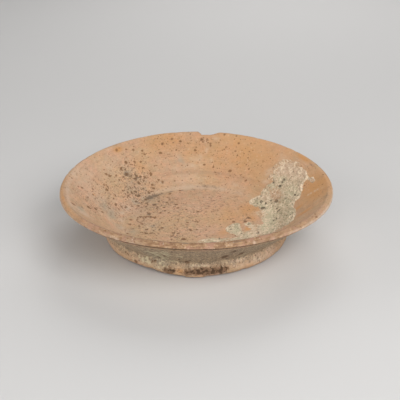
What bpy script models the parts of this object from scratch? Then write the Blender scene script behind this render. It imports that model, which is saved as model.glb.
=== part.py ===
"""A shallow wheel-thrown terracotta bowl with a plain lip and a low, broad foot.

The bowl stands on its foot at z = 0, with its axis on +Z. One turned section gives the
whole vessel. The rim is then sprung a little out of level, the foot is worn on one side
and a flake is broken out of the lip. Lengths are in metres and angles in degrees,
turned from +X towards +Y.
"""

import math
import random

import bmesh
import bpy
from mathutils import Vector

# Rim and lip
RIM_DIAMETER = 0.210
RIM_HEIGHT = 0.0454
LIP_WIDTH = 0.0040
LIP_DROP = 0.0032
LIP_UNDERCUT = 0.0006

# Wall and floor
WALL_THICKNESS = 0.0037
FLOOR_DIAMETER = 0.1215
FLOOR_HEIGHT = 0.0102
FLOOR_DISH = 0.0008
FLOOR_CORNER_LENGTH = 0.0080
FINGER_RING_GAP = 0.0054
FINGER_RING_SPAN = 0.0070
FINGER_RING_RELIEF = 0.0004

# Foot
FOOT_DIAMETER = 0.1443
FOOT_EDGE_WIDTH = 0.0082
FOOT_BULGE_HEIGHT = 0.0054
FOOT_SHOULDER_RISE = 0.0038
WAIST_RISE = 0.0034
WAIST_FILLET_LENGTH = 0.0050
REST_RING_WIDTH = 0.0050
RECESS_DEPTH = 0.0040
RECESS_SLOPE_WIDTH = 0.0022
RECESS_DOME = 0.0004

# Sprung rim: how far it rises and falls, and the turn of its low side
RIM_WARP = 0.00105
RIM_WARP_TURN = 0.8

# Flake broken out of the lip: the turn of its steep end, its length round the rim and its depth
CHIP_STEEP_END = 89.0
CHIP_LENGTH = 0.0225
CHIP_DEPTH = 0.0036
CHIP_STEEP_LENGTH = 0.0032
CHIP_FLOOR_LENGTH = 0.0070
CHIP_REACH_IN = 0.0035
CHIP_ROUGHNESS = 0.0002
CHIP_END_CLEARANCE = 0.0003
CHIP_STATIONS = 9
CHIP_SEED = 5

# Worn side of the foot
WEAR_TURN = -124.0
WEAR_SPREAD = 25.0
WEAR_DEPTH = 0.0016
WEAR_LIFT = 0.0009

# Facets
TURN_SEGMENTS = 96
ARC_POINTS = 5
WALL_POINTS = 4
FLOOR_RINGS = 3
MERGE_DISTANCE = 0.00001
CREASE_ANGLE = 50.0

CLAY_COLOUR = (0.48, 0.30, 0.19, 1.0)
CLAY_ROUGHNESS = 0.92


def clear_scene():
    """Remove the objects that the file opened with."""
    for scene_object in list(bpy.data.objects):
        bpy.data.objects.remove(scene_object, do_unlink=True)


def clay():
    """The fired clay of the whole bowl."""
    material = bpy.data.materials.new("terracotta")
    material.use_nodes = True
    shader = material.node_tree.nodes["Principled BSDF"]
    shader.inputs["Base Color"].default_value = CLAY_COLOUR
    shader.inputs["Roughness"].default_value = CLAY_ROUGHNESS
    shader.inputs["Metallic"].default_value = 0.0
    material.diffuse_color = CLAY_COLOUR
    return material


def smooth_step(value):
    """0 below 0, 1 above 1, and a smooth rise between."""
    clamped = min(max(value, 0.0), 1.0)
    return clamped * clamped * (3.0 - 2.0 * clamped)


def quarter(centre, start, end, points):
    """A quarter of an ellipse about centre, from start to end, without its start."""
    to_start = Vector(start) - Vector(centre)
    to_end = Vector(end) - Vector(centre)
    turns = [0.5 * math.pi * step / points for step in range(1, points + 1)]
    return [Vector(centre) + to_start * math.cos(turn) + to_end * math.sin(turn) for turn in turns]


def rounded_corner(before, corner, after, points):
    """A parabola that leaves one edge and joins the next, in place of a corner."""
    curve = []
    for step in range(points + 1):
        share = step / points
        first = before.lerp(corner, share)
        second = corner.lerp(after, share)
        curve.append(first.lerp(second, share))
    return curve


def wall_line():
    """The foot end, the lip end and the unit direction of the inner wall's straight section."""
    floor_edge = Vector((FLOOR_DIAMETER / 2, FLOOR_HEIGHT))
    lip_edge = Vector((RIM_DIAMETER / 2 - LIP_WIDTH, RIM_HEIGHT))
    return floor_edge, lip_edge, (lip_edge - floor_edge).normalized()


def shoulder_point():
    """The foot's upper corner, before it is rounded."""
    return Vector((FOOT_DIAMETER / 2, FOOT_BULGE_HEIGHT + FOOT_SHOULDER_RISE))


def waist_point():
    """The corner between foot and wall, one wall thickness outside the inner wall."""
    floor_edge, _, along = wall_line()
    height = shoulder_point().y + WAIST_RISE
    inner_radius = floor_edge.x + (height - floor_edge.y) * along.x / along.y
    return Vector((inner_radius + WALL_THICKNESS / along.y, height))


def lip_low_point():
    """The lip's outer edge, where its rounded face ends."""
    return Vector((RIM_DIAMETER / 2, RIM_HEIGHT - LIP_DROP))


def underside_section():
    """The recess under the foot, from the axis out to the resting ring."""
    foot_radius = FOOT_DIAMETER / 2
    ring_outer = foot_radius - FOOT_EDGE_WIDTH
    ring_inner = ring_outer - REST_RING_WIDTH
    recess_radius = ring_inner - RECESS_SLOPE_WIDTH
    return [
        Vector((0.0, RECESS_DEPTH + RECESS_DOME)),
        Vector((recess_radius / 2, RECESS_DEPTH + RECESS_DOME * 0.75)),
        Vector((recess_radius, RECESS_DEPTH)),
        Vector((ring_inner - RECESS_SLOPE_WIDTH / 4, RECESS_DEPTH / 3)),
        Vector((ring_inner, 0.0)),
        Vector((ring_outer, 0.0)),
    ]


def foot_section():
    """The foot's side, from the resting ring over its bulge and shoulder to the waist."""
    foot_radius = FOOT_DIAMETER / 2
    bottom = Vector((foot_radius - FOOT_EDGE_WIDTH, 0.0))
    bulge = Vector((foot_radius, FOOT_BULGE_HEIGHT))
    shoulder = shoulder_point()
    slope_middle = shoulder.lerp(waist_point(), 0.5)
    lower = quarter((bottom.x, bulge.y), bottom, bulge, ARC_POINTS)
    return lower + rounded_corner(bulge, shoulder, slope_middle, ARC_POINTS)[1:]


def outer_wall_section():
    """The wall's underside, from the waist's fillet up to the groove under the lip."""
    waist = waist_point()
    lip_low = lip_low_point()
    upward = (lip_low - waist).normalized()
    slope_middle = shoulder_point().lerp(waist, 0.5)
    fillet_end = waist + upward * WAIST_FILLET_LENGTH
    fillet = rounded_corner(slope_middle, waist, fillet_end, ARC_POINTS)
    groove = lip_low - upward * LIP_WIDTH
    straight = [fillet_end.lerp(groove, step / WALL_POINTS) for step in range(1, WALL_POINTS)]
    return fillet[1:] + straight + [groove]


def lip_section():
    """The lip, from the groove under its outer edge over its rounded top to the inside."""
    lip_low = lip_low_point()
    _, lip_edge, along = wall_line()
    groove_top = lip_low - Vector((LIP_WIDTH / 3, LIP_WIDTH / 3 - LIP_UNDERCUT))
    over = quarter((lip_edge.x, lip_low.y), lip_low, lip_edge, ARC_POINTS)
    return [groove_top, lip_low] + over + [lip_edge - along * LIP_WIDTH / 2]


def inner_wall_section():
    """The inner wall down to the floor's corner, with one low finger ring."""
    floor_edge, lip_edge, along = wall_line()
    inward = Vector((-along.y, along.x))
    ring = floor_edge + along * (FLOOR_CORNER_LENGTH + FINGER_RING_GAP + FINGER_RING_SPAN / 2)
    ring_top = ring + along * FINGER_RING_SPAN / 2
    upper = [lip_edge.lerp(ring_top, step / WALL_POINTS) for step in range(1, WALL_POINTS)]
    return upper + [ring_top, ring + inward * FINGER_RING_RELIEF, ring - along * FINGER_RING_SPAN / 2]


def floor_section():
    """The rounded corner at the foot of the inner wall, and the dished floor to the axis."""
    floor_edge, _, along = wall_line()
    corner_end = floor_edge - Vector((FLOOR_CORNER_LENGTH, 0.0))
    corner_start = floor_edge + along * FLOOR_CORNER_LENGTH
    shares = [step / FLOOR_RINGS for step in range(FLOOR_RINGS - 1, -1, -1)]
    dish = [Vector((corner_end.x * share, FLOOR_HEIGHT - FLOOR_DISH * (1.0 - share * share)))
            for share in shares]
    return rounded_corner(corner_start, floor_edge, corner_end, ARC_POINTS) + dish


def bowl_section():
    """The whole section as (radius, height) points, from under the foot round to the floor."""
    return (underside_section() + foot_section() + outer_wall_section()
            + lip_section() + inner_wall_section() + floor_section())


def spring_rim(mesh):
    """Lift two opposite quarters of the rim and lower the two between, and leave the foot level."""
    foot_radius = FOOT_DIAMETER / 2
    span = RIM_DIAMETER / 2 - foot_radius
    for vertex in mesh.verts:
        turn = math.atan2(vertex.co.y, vertex.co.x) - math.radians(RIM_WARP_TURN)
        reach = smooth_step((math.hypot(vertex.co.x, vertex.co.y) - foot_radius) / span)
        vertex.co.z -= RIM_WARP * math.cos(2.0 * turn) * reach


def on_inside(vertex):
    """Whether a point is inside the bowl, where the surface looks up and in."""
    return vertex.normal.z > 0.0 and vertex.normal.xy.dot(vertex.co.xy) < 0.0


def wear_foot(mesh):
    """Rub the foot's outer edge in and up along its worn side."""
    rest_outer = FOOT_DIAMETER / 2 - FOOT_EDGE_WIDTH
    waist_height = waist_point().y
    mesh.normal_update()
    for vertex in mesh.verts:
        radius = math.hypot(vertex.co.x, vertex.co.y)
        above = vertex.co.z > waist_height
        if above or radius < rest_outer - MERGE_DISTANCE or on_inside(vertex):
            continue
        turn = math.degrees(math.atan2(vertex.co.y, vertex.co.x))
        away = (turn - WEAR_TURN + 180.0) % 360.0 - 180.0
        worn = smooth_step(1.0 - abs(away) / WEAR_SPREAD)
        low = 1.0 - vertex.co.z / waist_height
        shrink = 1.0 - WEAR_DEPTH * worn * low / radius
        vertex.co.x *= shrink
        vertex.co.y *= shrink
        vertex.co.z += WEAR_LIFT * worn * low * low


def turned_bowl(material):
    """Spin the section about the axis, close its poles, and spring and wear it."""
    mesh = bmesh.new()
    ring = [mesh.verts.new((point.x, 0.0, point.y)) for point in bowl_section()]
    edges = [mesh.edges.new(pair) for pair in zip(ring, ring[1:])]
    bmesh.ops.spin(mesh, geom=ring + edges, cent=(0, 0, 0), axis=(0, 0, 1), dvec=(0, 0, 0),
                   angle=2.0 * math.pi, steps=TURN_SEGMENTS, use_merge=True, use_duplicate=False)
    bmesh.ops.remove_doubles(mesh, verts=mesh.verts, dist=MERGE_DISTANCE)
    bmesh.ops.recalc_face_normals(mesh, faces=mesh.faces)
    spring_rim(mesh)
    wear_foot(mesh)
    data = bpy.data.meshes.new("bowl")
    mesh.to_mesh(data)
    mesh.free()
    data.materials.append(material)
    data.shade_smooth()
    data.set_sharp_from_angle(angle=math.radians(CREASE_ANGLE))
    bowl = bpy.data.objects.new("bowl", data)
    bpy.context.scene.collection.objects.link(bowl)
    return bowl


def chip_fall(distance):
    """Depth of the flake a distance from its steep end: a short fall, a floor and a long rise."""
    if distance < CHIP_STEEP_LENGTH:
        return CHIP_DEPTH * distance / CHIP_STEEP_LENGTH
    rise_start = CHIP_STEEP_LENGTH + CHIP_FLOOR_LENGTH
    return CHIP_DEPTH * (1.0 - smooth_step((distance - rise_start) / (CHIP_LENGTH - rise_start)))


def chip_cutter():
    """The flake's shape: deep and steep at one end, running out along the lip at the other.

    Both of its ends stand clear above the lip.
    """
    noise = random.Random(CHIP_SEED)
    rim_radius = RIM_DIAMETER / 2
    clearance = RIM_WARP + LIP_DROP
    inner = rim_radius - LIP_WIDTH - CHIP_REACH_IN
    outer = rim_radius + LIP_WIDTH
    top = RIM_HEIGHT + clearance
    mesh = bmesh.new()
    rings = []
    for station in range(CHIP_STATIONS + 1):
        distance = CHIP_LENGTH * station / CHIP_STATIONS
        turn = math.radians(CHIP_STEEP_END) - distance / rim_radius
        outward = Vector((math.cos(turn), math.sin(turn), 0.0))
        depth = chip_fall(distance) + noise.uniform(-1.0, 1.0) * CHIP_ROUGHNESS
        if station in (0, CHIP_STATIONS):
            depth = -CHIP_END_CLEARANCE
        low = RIM_HEIGHT + RIM_WARP - depth
        corners = [(inner, top), (inner, low + CHIP_DEPTH), (rim_radius - LIP_WIDTH, low),
                   (outer, low - LIP_DROP / 3), (outer, top)]
        rings.append([mesh.verts.new(outward * radius + Vector((0, 0, height)))
                      for radius, height in corners])
    for first, second in zip(rings, rings[1:]):
        for side, corner in enumerate(first):
            following = (side + 1) % len(first)
            mesh.faces.new((corner, first[following], second[following], second[side]))
    mesh.faces.new(rings[0])
    mesh.faces.new(rings[-1])
    bmesh.ops.triangulate(mesh, faces=mesh.faces)
    bmesh.ops.recalc_face_normals(mesh, faces=mesh.faces)
    data = bpy.data.meshes.new("rim_chip_cutter")
    mesh.to_mesh(data)
    mesh.free()
    cutter = bpy.data.objects.new("rim_chip_cutter", data)
    cutter.hide_render = True
    cutter.display_type = "WIRE"
    bpy.context.scene.collection.objects.link(cutter)
    return cutter


def break_rim(bowl):
    """Cut the flake out of the lip."""
    cut = bowl.modifiers.new("rim_chip", "BOOLEAN")
    cut.operation = "DIFFERENCE"
    cut.object = chip_cutter()


def main():
    """Model the bowl."""
    clear_scene()
    bowl = turned_bowl(clay())
    break_rim(bowl)


main()
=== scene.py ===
"""The looks of a shallow terracotta bowl that came out of the ground and was never restored.

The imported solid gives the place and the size.  This script stands a finer mesh in it, with
throwing ridges, pits, a worn lip, a flake out of the rim and a rubbed foot, lays the lime
crust of the burial on its inside, and shows it on a plain pale floor in soft studio light,
from the photograph's viewing angle.  Lengths are in metres.  Turns go from +X towards +Y.
"""

from __future__ import annotations

import logging
import math
from dataclasses import dataclass, field
from enum import Enum

import bpy
import numpy as np
from mathutils import Matrix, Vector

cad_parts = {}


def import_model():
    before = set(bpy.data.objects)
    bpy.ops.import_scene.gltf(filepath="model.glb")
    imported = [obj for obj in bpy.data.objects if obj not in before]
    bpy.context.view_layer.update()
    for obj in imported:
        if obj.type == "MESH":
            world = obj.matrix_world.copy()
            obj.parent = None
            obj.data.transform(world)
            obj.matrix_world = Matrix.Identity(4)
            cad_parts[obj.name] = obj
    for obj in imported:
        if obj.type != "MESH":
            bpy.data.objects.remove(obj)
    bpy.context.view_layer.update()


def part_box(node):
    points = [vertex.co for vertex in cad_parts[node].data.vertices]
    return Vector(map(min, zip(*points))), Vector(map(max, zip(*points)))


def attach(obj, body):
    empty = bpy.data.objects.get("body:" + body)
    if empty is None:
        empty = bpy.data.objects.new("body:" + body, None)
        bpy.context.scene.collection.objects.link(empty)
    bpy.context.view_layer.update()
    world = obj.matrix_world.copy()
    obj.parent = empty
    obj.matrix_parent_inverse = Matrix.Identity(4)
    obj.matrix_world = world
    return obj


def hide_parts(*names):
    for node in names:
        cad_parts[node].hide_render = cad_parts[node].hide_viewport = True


log = logging.getLogger("terracotta_bowl")

MM = 0.001
SEED = 41
ARC_STEPS = 24
WALL_POINTS = 200
FLOOR_POINTS = 60
TOUCH = 1e-6
NEVER_ZERO = 1e-12
FAR_ABOVE = 1.0

Colour = tuple[float, float, float]
Pair = tuple[float, float]
Array = np.ndarray
Socket = bpy.types.NodeSocket
Tree = bpy.types.NodeTree


def smooth(value: Array) -> Array:
    """Rise smoothly from 0 at 0 to 1 at 1: three times the square less twice the cube."""
    held = np.clip(value, 0.0, 1.0)
    return held * held * (3.0 - 2.0 * held)


def between(value: Array, low: float, high: float) -> Array:
    """Rise smoothly from 0 at low to 1 at high; the other way round if high is the smaller."""
    return smooth((value - low) / (high - low))


def turned_by(turn: Array, start: float) -> Array:
    """Give the turn from start, in degrees from -180 to 180."""
    return (np.degrees(turn) - start + 180.0) % 360.0 - 180.0


def bell(value: Array, middle: float, width: float) -> Array:
    """Give a bell curve, which is 1 at the middle and about a third at the width from it."""
    return np.exp(-(((value - middle) / width) ** 2))


def flat_topped(dot: Array) -> Array:
    """Widen the top of a soft dot: 1.4 times its height, but no more than 1."""
    return np.minimum(1.4 * dot, 1.0)


def crested(noise: Array, sharpness: float) -> Array:
    """Turn noise into crests along the lines where it is 0, narrower with more sharpness."""
    return np.clip(1.0 - np.abs(noise) * sharpness, 0.0, 1.0)


def about_axis(radius: Array, turn: Array, height: Array) -> Array:
    """Give places by their radius and turn about Z and their height, one row each."""
    return np.stack([radius * np.cos(turn), radius * np.sin(turn), height], axis=1)


class Grain:
    """Smooth seeded noise in space, read from a lattice of random values that repeats."""

    octave_shift: float = 7.3

    def __init__(self, seed: int, cells: int = 32) -> None:
        """Fill the lattice.

        Args:
            seed: the number that the random values start from.
            cells: the lattice's cells along each side, after which the noise repeats.
        """
        self.cells = cells
        self.lattice = np.random.default_rng(seed).uniform(-1.0, 1.0, (cells,) * 3)

    def at(self, points: Array, size: float) -> Array:
        """Read the noise at points.

        Formula: each point falls in one cell of the lattice, and its value is the mean of
        the cell's eight corners, each weighted by how near the point is to it on a smooth
        step along each axis.

        Args:
            points: positions, one row each, in metres.
            size: the width of one cell, in metres.

        Returns:
            One value for each point, from -1 to 1.
        """
        place = points / size
        cell = np.floor(place).astype(np.int64)
        share = smooth(place - cell)
        value = np.zeros(len(points))
        for corner in range(8):
            offset = np.array([corner & 1, corner >> 1 & 1, corner >> 2 & 1])
            weight = np.prod(np.where(offset == 1, share, 1.0 - share), axis=1)
            x, y, z = ((cell + offset) % self.cells).T
            value += weight * self.lattice[x, y, z]
        return value

    def rough(self, points: Array, size: float, octaves: int = 3) -> Array:
        """Add the noise at several sizes, each half as wide and half as strong as the last.

        Args:
            points: positions, one row each, in metres.
            size: the width of the widest noise, in metres.
            octaves: how many sizes are added.

        Returns:
            One value for each point, mostly from -1 to 1.
        """
        total = np.zeros(len(points))
        for octave in range(octaves):
            share = 0.5**octave
            total += share * self.at(points + self.octave_shift * size * octave, size * share)
        return total / (2.0 - 0.5 ** (octaves - 1))


class Side(Enum):
    """The stretches of the bowl's section, from under the foot round to the floor's middle."""

    UNDERSIDE = 0
    FOOT = 1
    OUTER_WALL = 2
    LIP = 3
    INNER_WALL = 4
    FLOOR = 5


class Tint(Enum):
    """What lies on the clay or shows in it; each is an attribute of the bowl's mesh."""

    GREY_GREEN = "grey_green"
    ORANGE = "orange"
    PALE = "pale"
    # Grey smears, and wide faint painted shade on parts of the inside and the rim.
    SHADE = "shade"
    SOIL = "soil"
    SPECKS = "specks"
    LIME = "lime"


@dataclass(frozen=True)
class Mark:
    """A mark on the bowl, placed by the column and row where the photograph shows it."""

    column: float
    row: float
    across: float
    strength: float = 1.0
    stretch: float = 1.0


Marks = tuple[Mark, ...]


def marks(*rows: tuple[float, ...]) -> Marks:
    """Make a mark of each row of its values, in the order of its fields."""
    return tuple(Mark(*row) for row in rows)


@dataclass(frozen=True)
class PitField:
    """A scatter of pits about a place in the photograph, its sizes in millimetres."""

    column: float
    row: float
    spread: float
    count: int
    strongest: float = 0.95
    smallest: float = 0.5
    largest: float = 1.3


@dataclass(frozen=True)
class PhotoView:
    """The photograph's viewing angle, as a pinhole camera over its 400 x 400 frame."""

    frame: float = 400.0
    focal_length: float = 801.3
    centre_column: float = 196.38
    centre_row: float = 206.7
    elevation: float = 26.418
    distance: float = 0.63
    aim_height: float = 0.02266
    roll: float = -0.302
    sensor: float = 36.0
    nearest_shown: float = 0.05
    farthest_shown: float = 20.0

    def axes(self) -> Array:
        """Give the camera's right, up and back directions, one row each, with its roll."""
        rise, lean = math.radians(self.elevation), math.radians(self.roll)
        right = np.array([1.0, 0.0, 0.0])
        up = np.array([0.0, math.sin(rise), math.cos(rise)])
        back = np.array([0.0, -math.cos(rise), math.sin(rise)])
        cosine, sine = math.cos(lean), math.sin(lean)
        return np.stack([right * cosine + up * sine, up * cosine - right * sine, back])

    def place(self) -> Array:
        """Give the camera's position."""
        return np.array([0.0, 0.0, self.aim_height]) + self.distance * self.axes()[2]

    def project(self, points: Array) -> tuple[Array, Array]:
        """Find where points fall in the photograph.

        Formula: a point's offset from the camera along right and up, over its depth, times
        the focal length, from the picture's own centre.

        Args:
            points: positions, one row each.

        Returns:
            Columns and rows, one row each, and the depths.
        """
        right, up, depth = ((points - self.place()) @ self.axes().T).T
        depth = -depth
        columns = self.centre_column + self.focal_length * right / depth
        rows = self.centre_row - self.focal_length * up / depth
        return np.stack([columns, rows], axis=1), depth

    def make_camera(self) -> None:
        """Make the scene's camera, with its lens and shifts from the pinhole's values."""
        data = bpy.data.cameras.new("photo_camera")
        data.sensor_width = self.sensor
        data.lens = self.focal_length * self.sensor / self.frame
        data.shift_x = (self.frame / 2 - self.centre_column) / self.frame
        data.shift_y = (self.centre_row - self.frame / 2) / self.frame
        data.clip_start, data.clip_end = self.nearest_shown, self.farthest_shown
        camera = bpy.data.objects.new("photo_camera", data)
        turned = Matrix(self.axes().T.tolist()).to_4x4()
        camera.matrix_world = Matrix.Translation(self.place().tolist()) @ turned
        bpy.context.scene.collection.objects.link(camera)
        bpy.context.scene.camera = camera


def new_mesh(name: str, points: Array, faces: list[Array]) -> bpy.types.Object:
    """Make a smooth-shaded mesh object from whole arrays.

    Args:
        name: the object's and the mesh's name.
        points: the vertices, one row each.
        faces: arrays of vertex numbers, one face in each row, three or four wide.

    Returns:
        The new object, at the origin and linked to the scene.
    """
    data = bpy.data.meshes.new(name)
    sizes = np.concatenate([np.full(len(block), block.shape[1]) for block in faces])
    corners = np.concatenate([block.ravel() for block in faces])
    starts = np.concatenate([[0], np.cumsum(sizes)[:-1]])
    data.vertices.add(len(points))
    data.vertices.foreach_set("co", points.astype(np.float32).ravel())
    data.loops.add(len(corners))
    data.loops.foreach_set("vertex_index", corners.astype(np.int32))
    data.polygons.add(len(sizes))
    data.polygons.foreach_set("loop_start", starts.astype(np.int32))
    data.update(calc_edges=True)
    data.validate()
    data.shade_smooth()
    piece = bpy.data.objects.new(name, data)
    bpy.context.scene.collection.objects.link(piece)
    return piece


def add_attribute(piece: bpy.types.Object, name: str, values: Array) -> None:
    """Store one value for each vertex, for the materials to read."""
    attribute = piece.data.attributes.new(name, "FLOAT", "POINT")
    attribute.data.foreach_set("value", values.astype(np.float32))


def quarter(centre: tuple, start: tuple, end: tuple) -> Array:
    """Draw a quarter of an ellipse.

    Formula: the centre, plus the way to the start times the turn's cosine, plus the way to
    the end times its sine.

    Args:
        centre: the ellipse's centre, as radius and height.
        start: where the quarter begins.
        end: where it ends.

    Returns:
        Its points, one row each.
    """
    turn = np.linspace(0.0, math.pi / 2, ARC_STEPS + 1)[:, None]
    centre, start, end = (np.array(point, float) for point in (centre, start, end))
    return centre + (start - centre) * np.cos(turn) + (end - centre) * np.sin(turn)


def bend(before: Array, corner: Array, after: Array) -> Array:
    """Round a corner with a parabola.

    Formula: a point that slides from before to corner and one that slides from corner to
    after are themselves mixed in the same share.

    Args:
        before: where the curve leaves the first edge.
        corner: the corner that it rounds.
        after: where it joins the second edge.

    Returns:
        Its points, one row each.
    """
    share = np.linspace(0.0, 1.0, ARC_STEPS + 1)[:, None]
    first = before + (corner - before) * share
    second = corner + (after - corner) * share
    return first + (second - first) * share


@dataclass
class BowlForm:
    """The bowl's section, as the solid has it, and its departures from a turned shape."""

    rim_radius: float
    rim_height: float = 0.0454
    lip_width: float = 0.0040
    lip_drop: float = 0.0032
    lip_undercut: float = 0.0006
    wall_thickness: float = 0.0037
    floor_radius: float = 0.06075
    floor_height: float = 0.0102
    floor_dish: float = 0.0008
    floor_corner: float = 0.0080
    finger_ring_gap: float = 0.0054
    finger_ring_span: float = 0.0070
    finger_ring_relief: float = 0.0004
    foot_radius: float = 0.07215
    foot_edge_width: float = 0.0082
    foot_bulge_height: float = 0.0054
    foot_shoulder_rise: float = 0.0038
    waist_rise: float = 0.0034
    waist_fillet: float = 0.0050
    rest_ring_width: float = 0.0050
    recess_depth: float = 0.0040
    recess_slope: float = 0.0022
    recess_dome: float = 0.0004
    rim_warp: float = 0.00105
    rim_warp_turn: float = 0.8
    wear_turn: float = -124.0
    wear_spread: float = 25.0
    wear_depth: float = 0.0016
    wear_lift: float = 0.0009
    intact_turn: float = -91.0
    intact_spread: float = 7.0
    intact_core: float = 4.5
    intact_reach: float = 0.0008
    intact_drop: float = 0.6

    def __post_init__(self) -> None:
        """Work out the corners that the stretches share."""
        self.floor_edge = np.array([self.floor_radius, self.floor_height])
        self.lip_edge = np.array([self.rim_radius - self.lip_width, self.rim_height])
        along = self.lip_edge - self.floor_edge
        self.along = along / np.linalg.norm(along)
        self.shoulder = np.array([self.foot_radius, self.foot_bulge_height + self.foot_shoulder_rise])
        waist_height = self.shoulder[1] + self.waist_rise
        inner = self.floor_radius + (waist_height - self.floor_height) * self.along[0] / self.along[1]
        self.waist = np.array([inner + self.wall_thickness / self.along[1], waist_height])
        self.lip_low = np.array([self.rim_radius, self.rim_height - self.lip_drop])
        self.upward = (self.lip_low - self.waist) / np.linalg.norm(self.lip_low - self.waist)
        self.ring_outer = self.foot_radius - self.foot_edge_width

    def line(self, side: Side) -> Array:
        """Draw one stretch of the section.

        Formula: straight runs between named corners, with quarter ellipses on the foot's
        edge and the lip, parabolas in the hollows, and a hump of half a cosine wave for the
        finger ring.

        Args:
            side: the stretch.

        Returns:
            Its points as radius and height, in order from under the foot to the floor.
        """
        ring_inner = self.ring_outer - self.rest_ring_width
        recess = ring_inner - self.recess_slope
        middle = (self.shoulder + self.waist) / 2
        fillet_end = self.waist + self.upward * self.waist_fillet
        groove = self.lip_low - self.upward * self.lip_width
        corner_start = self.floor_edge + self.along * self.floor_corner
        corner_end = self.floor_edge - [self.floor_corner, 0.0]
        inside_lip = self.lip_edge - self.along * self.lip_width / 2
        if side is Side.UNDERSIDE:
            radii = np.linspace(0.0, recess, ARC_STEPS)
            domed = self.recess_depth + self.recess_dome * (1.0 - (radii / recess) ** 2)
            slope = bend(
                np.array([recess, self.recess_depth]),
                np.array([ring_inner - self.recess_slope / 3, self.recess_depth]),
                np.array([ring_inner, 0.0]),
            )
            return np.concatenate([np.stack([radii, domed], 1), slope, [[self.ring_outer, 0.0]]])
        if side is Side.FOOT:
            bulge = (self.foot_radius, self.foot_bulge_height)
            edge = quarter((self.ring_outer, self.foot_bulge_height), (self.ring_outer, 0.0), bulge)
            return np.concatenate([edge, bend(np.array(bulge), self.shoulder, middle)])
        if side is Side.OUTER_WALL:
            return np.concatenate([bend(middle, self.waist, fillet_end), [groove]])
        if side is Side.LIP:
            third = self.lip_width / 3
            groove_top = self.lip_low - [third, third - self.lip_undercut]
            over = quarter((self.lip_edge[0], self.lip_low[1]), self.lip_low, self.lip_edge)
            return np.concatenate([[groove, groove_top], over, [inside_lip]])
        if side is Side.INNER_WALL:
            share = np.linspace(0.0, 1.0, WALL_POINTS)[:, None]
            straight = inside_lip + (corner_start - inside_lip) * share
            away = np.linalg.norm(straight - self.floor_edge, axis=1)
            ring = self.floor_corner + self.finger_ring_gap + self.finger_ring_span / 2
            phase = np.clip((away - ring) / (self.finger_ring_span / 2), -1.0, 1.0)
            hump = self.finger_ring_relief * (0.5 + 0.5 * np.cos(math.pi * phase))
            humped = straight + hump[:, None] * [-self.along[1], self.along[0]]
            return np.concatenate([humped, bend(corner_start, self.floor_edge, corner_end)])
        radii = np.linspace(corner_end[0], 0.0, FLOOR_POINTS)
        dish = self.floor_height - self.floor_dish * (1.0 - (radii / corner_end[0]) ** 2)
        return np.stack([radii, dish], 1)

    def sprung(self, turn: Array, radius: Array) -> Array:
        """Give how far the sprung rim lifts or lowers a point.

        Formula: less the cosine of twice the turn, times a smooth rise from the foot to the
        rim.

        Args:
            turn: the points' turns.
            radius: the points' radii.

        Returns:
            The lift of each point.
        """
        reach = between(radius, self.foot_radius, self.rim_radius)
        return -self.rim_warp * np.cos(2.0 * (turn - math.radians(self.rim_warp_turn))) * reach

    def inside_height(self, x: Array, y: Array) -> Array:
        """Give the height of the bowl's inside over places in plan.

        Formula: the height of the inner section at the place's radius, with the sprung
        rim's lift at its turn.

        Args:
            x: the places' X.
            y: the places' Y.

        Returns:
            The height of each place.
        """
        section = np.concatenate([self.line(Side.INNER_WALL), self.line(Side.FLOOR)])[::-1]
        radius = np.hypot(x, y)
        height = np.interp(radius, section[:, 0], section[:, 1])
        return height + self.sprung(np.arctan2(y, x), radius)


@dataclass(frozen=True)
class RimFlake:
    """The flake that is broken out of the lip: steep at one end, running out at the other."""

    steep_end: float = 89.0
    length: float = 0.0225
    depth: float = 0.0036
    steep_length: float = 0.0032
    floor_length: float = 0.0070
    reach_in: float = 0.0035
    roughness: float = 0.25 * MM
    roughness_width: float = 2.2 * MM

    def cut(self, form: BowlForm, turn: Array, radius: Array, grain: Grain) -> Array:
        """Give the height of the break over each point, far above the rim where there is none.

        Formula: the depth rises in a straight line at the steep end, stays, and runs out in
        a smooth step.  From the inner edge the break falls to the lip and then slowly
        outwards, and noise roughens it.

        Args:
            form: the bowl that it is broken from.
            turn: the points' turns.
            radius: the points' radii.
            grain: the noise.

        Returns:
            The height of the break at each point.
        """
        away = -turned_by(turn, self.steep_end) * math.pi / 180.0 * form.rim_radius
        rise_start = self.steep_length + self.floor_length
        fall = np.clip(away / self.steep_length, 0.0, 1.0)
        depth = self.depth * fall * (1.0 - between(away, rise_start, self.length))
        lip = form.rim_radius - form.lip_width
        inner = np.clip((lip - radius) / self.reach_in, 0.0, 1.0)
        outer = np.clip((radius - lip) / (2.0 * form.lip_width), 0.0, 1.0)
        height = form.rim_height + form.rim_warp - depth + self.depth * inner
        height -= form.lip_drop / 3 * outer
        place = np.stack([away, radius, np.zeros_like(away)], axis=1)
        height += self.roughness * grain.rough(place, self.roughness_width) * (depth > 0.0)
        broken = (away > 0.0) & (away < self.length) & (radius > lip - self.reach_in)
        return np.where(broken, height, FAR_ABOVE)


@dataclass(frozen=True)
class Nicks:
    """Small chips along an edge: how many, how far they stray from it, how deep and how wide."""

    count: int
    stray: float
    deepest: float
    widest: float


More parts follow.
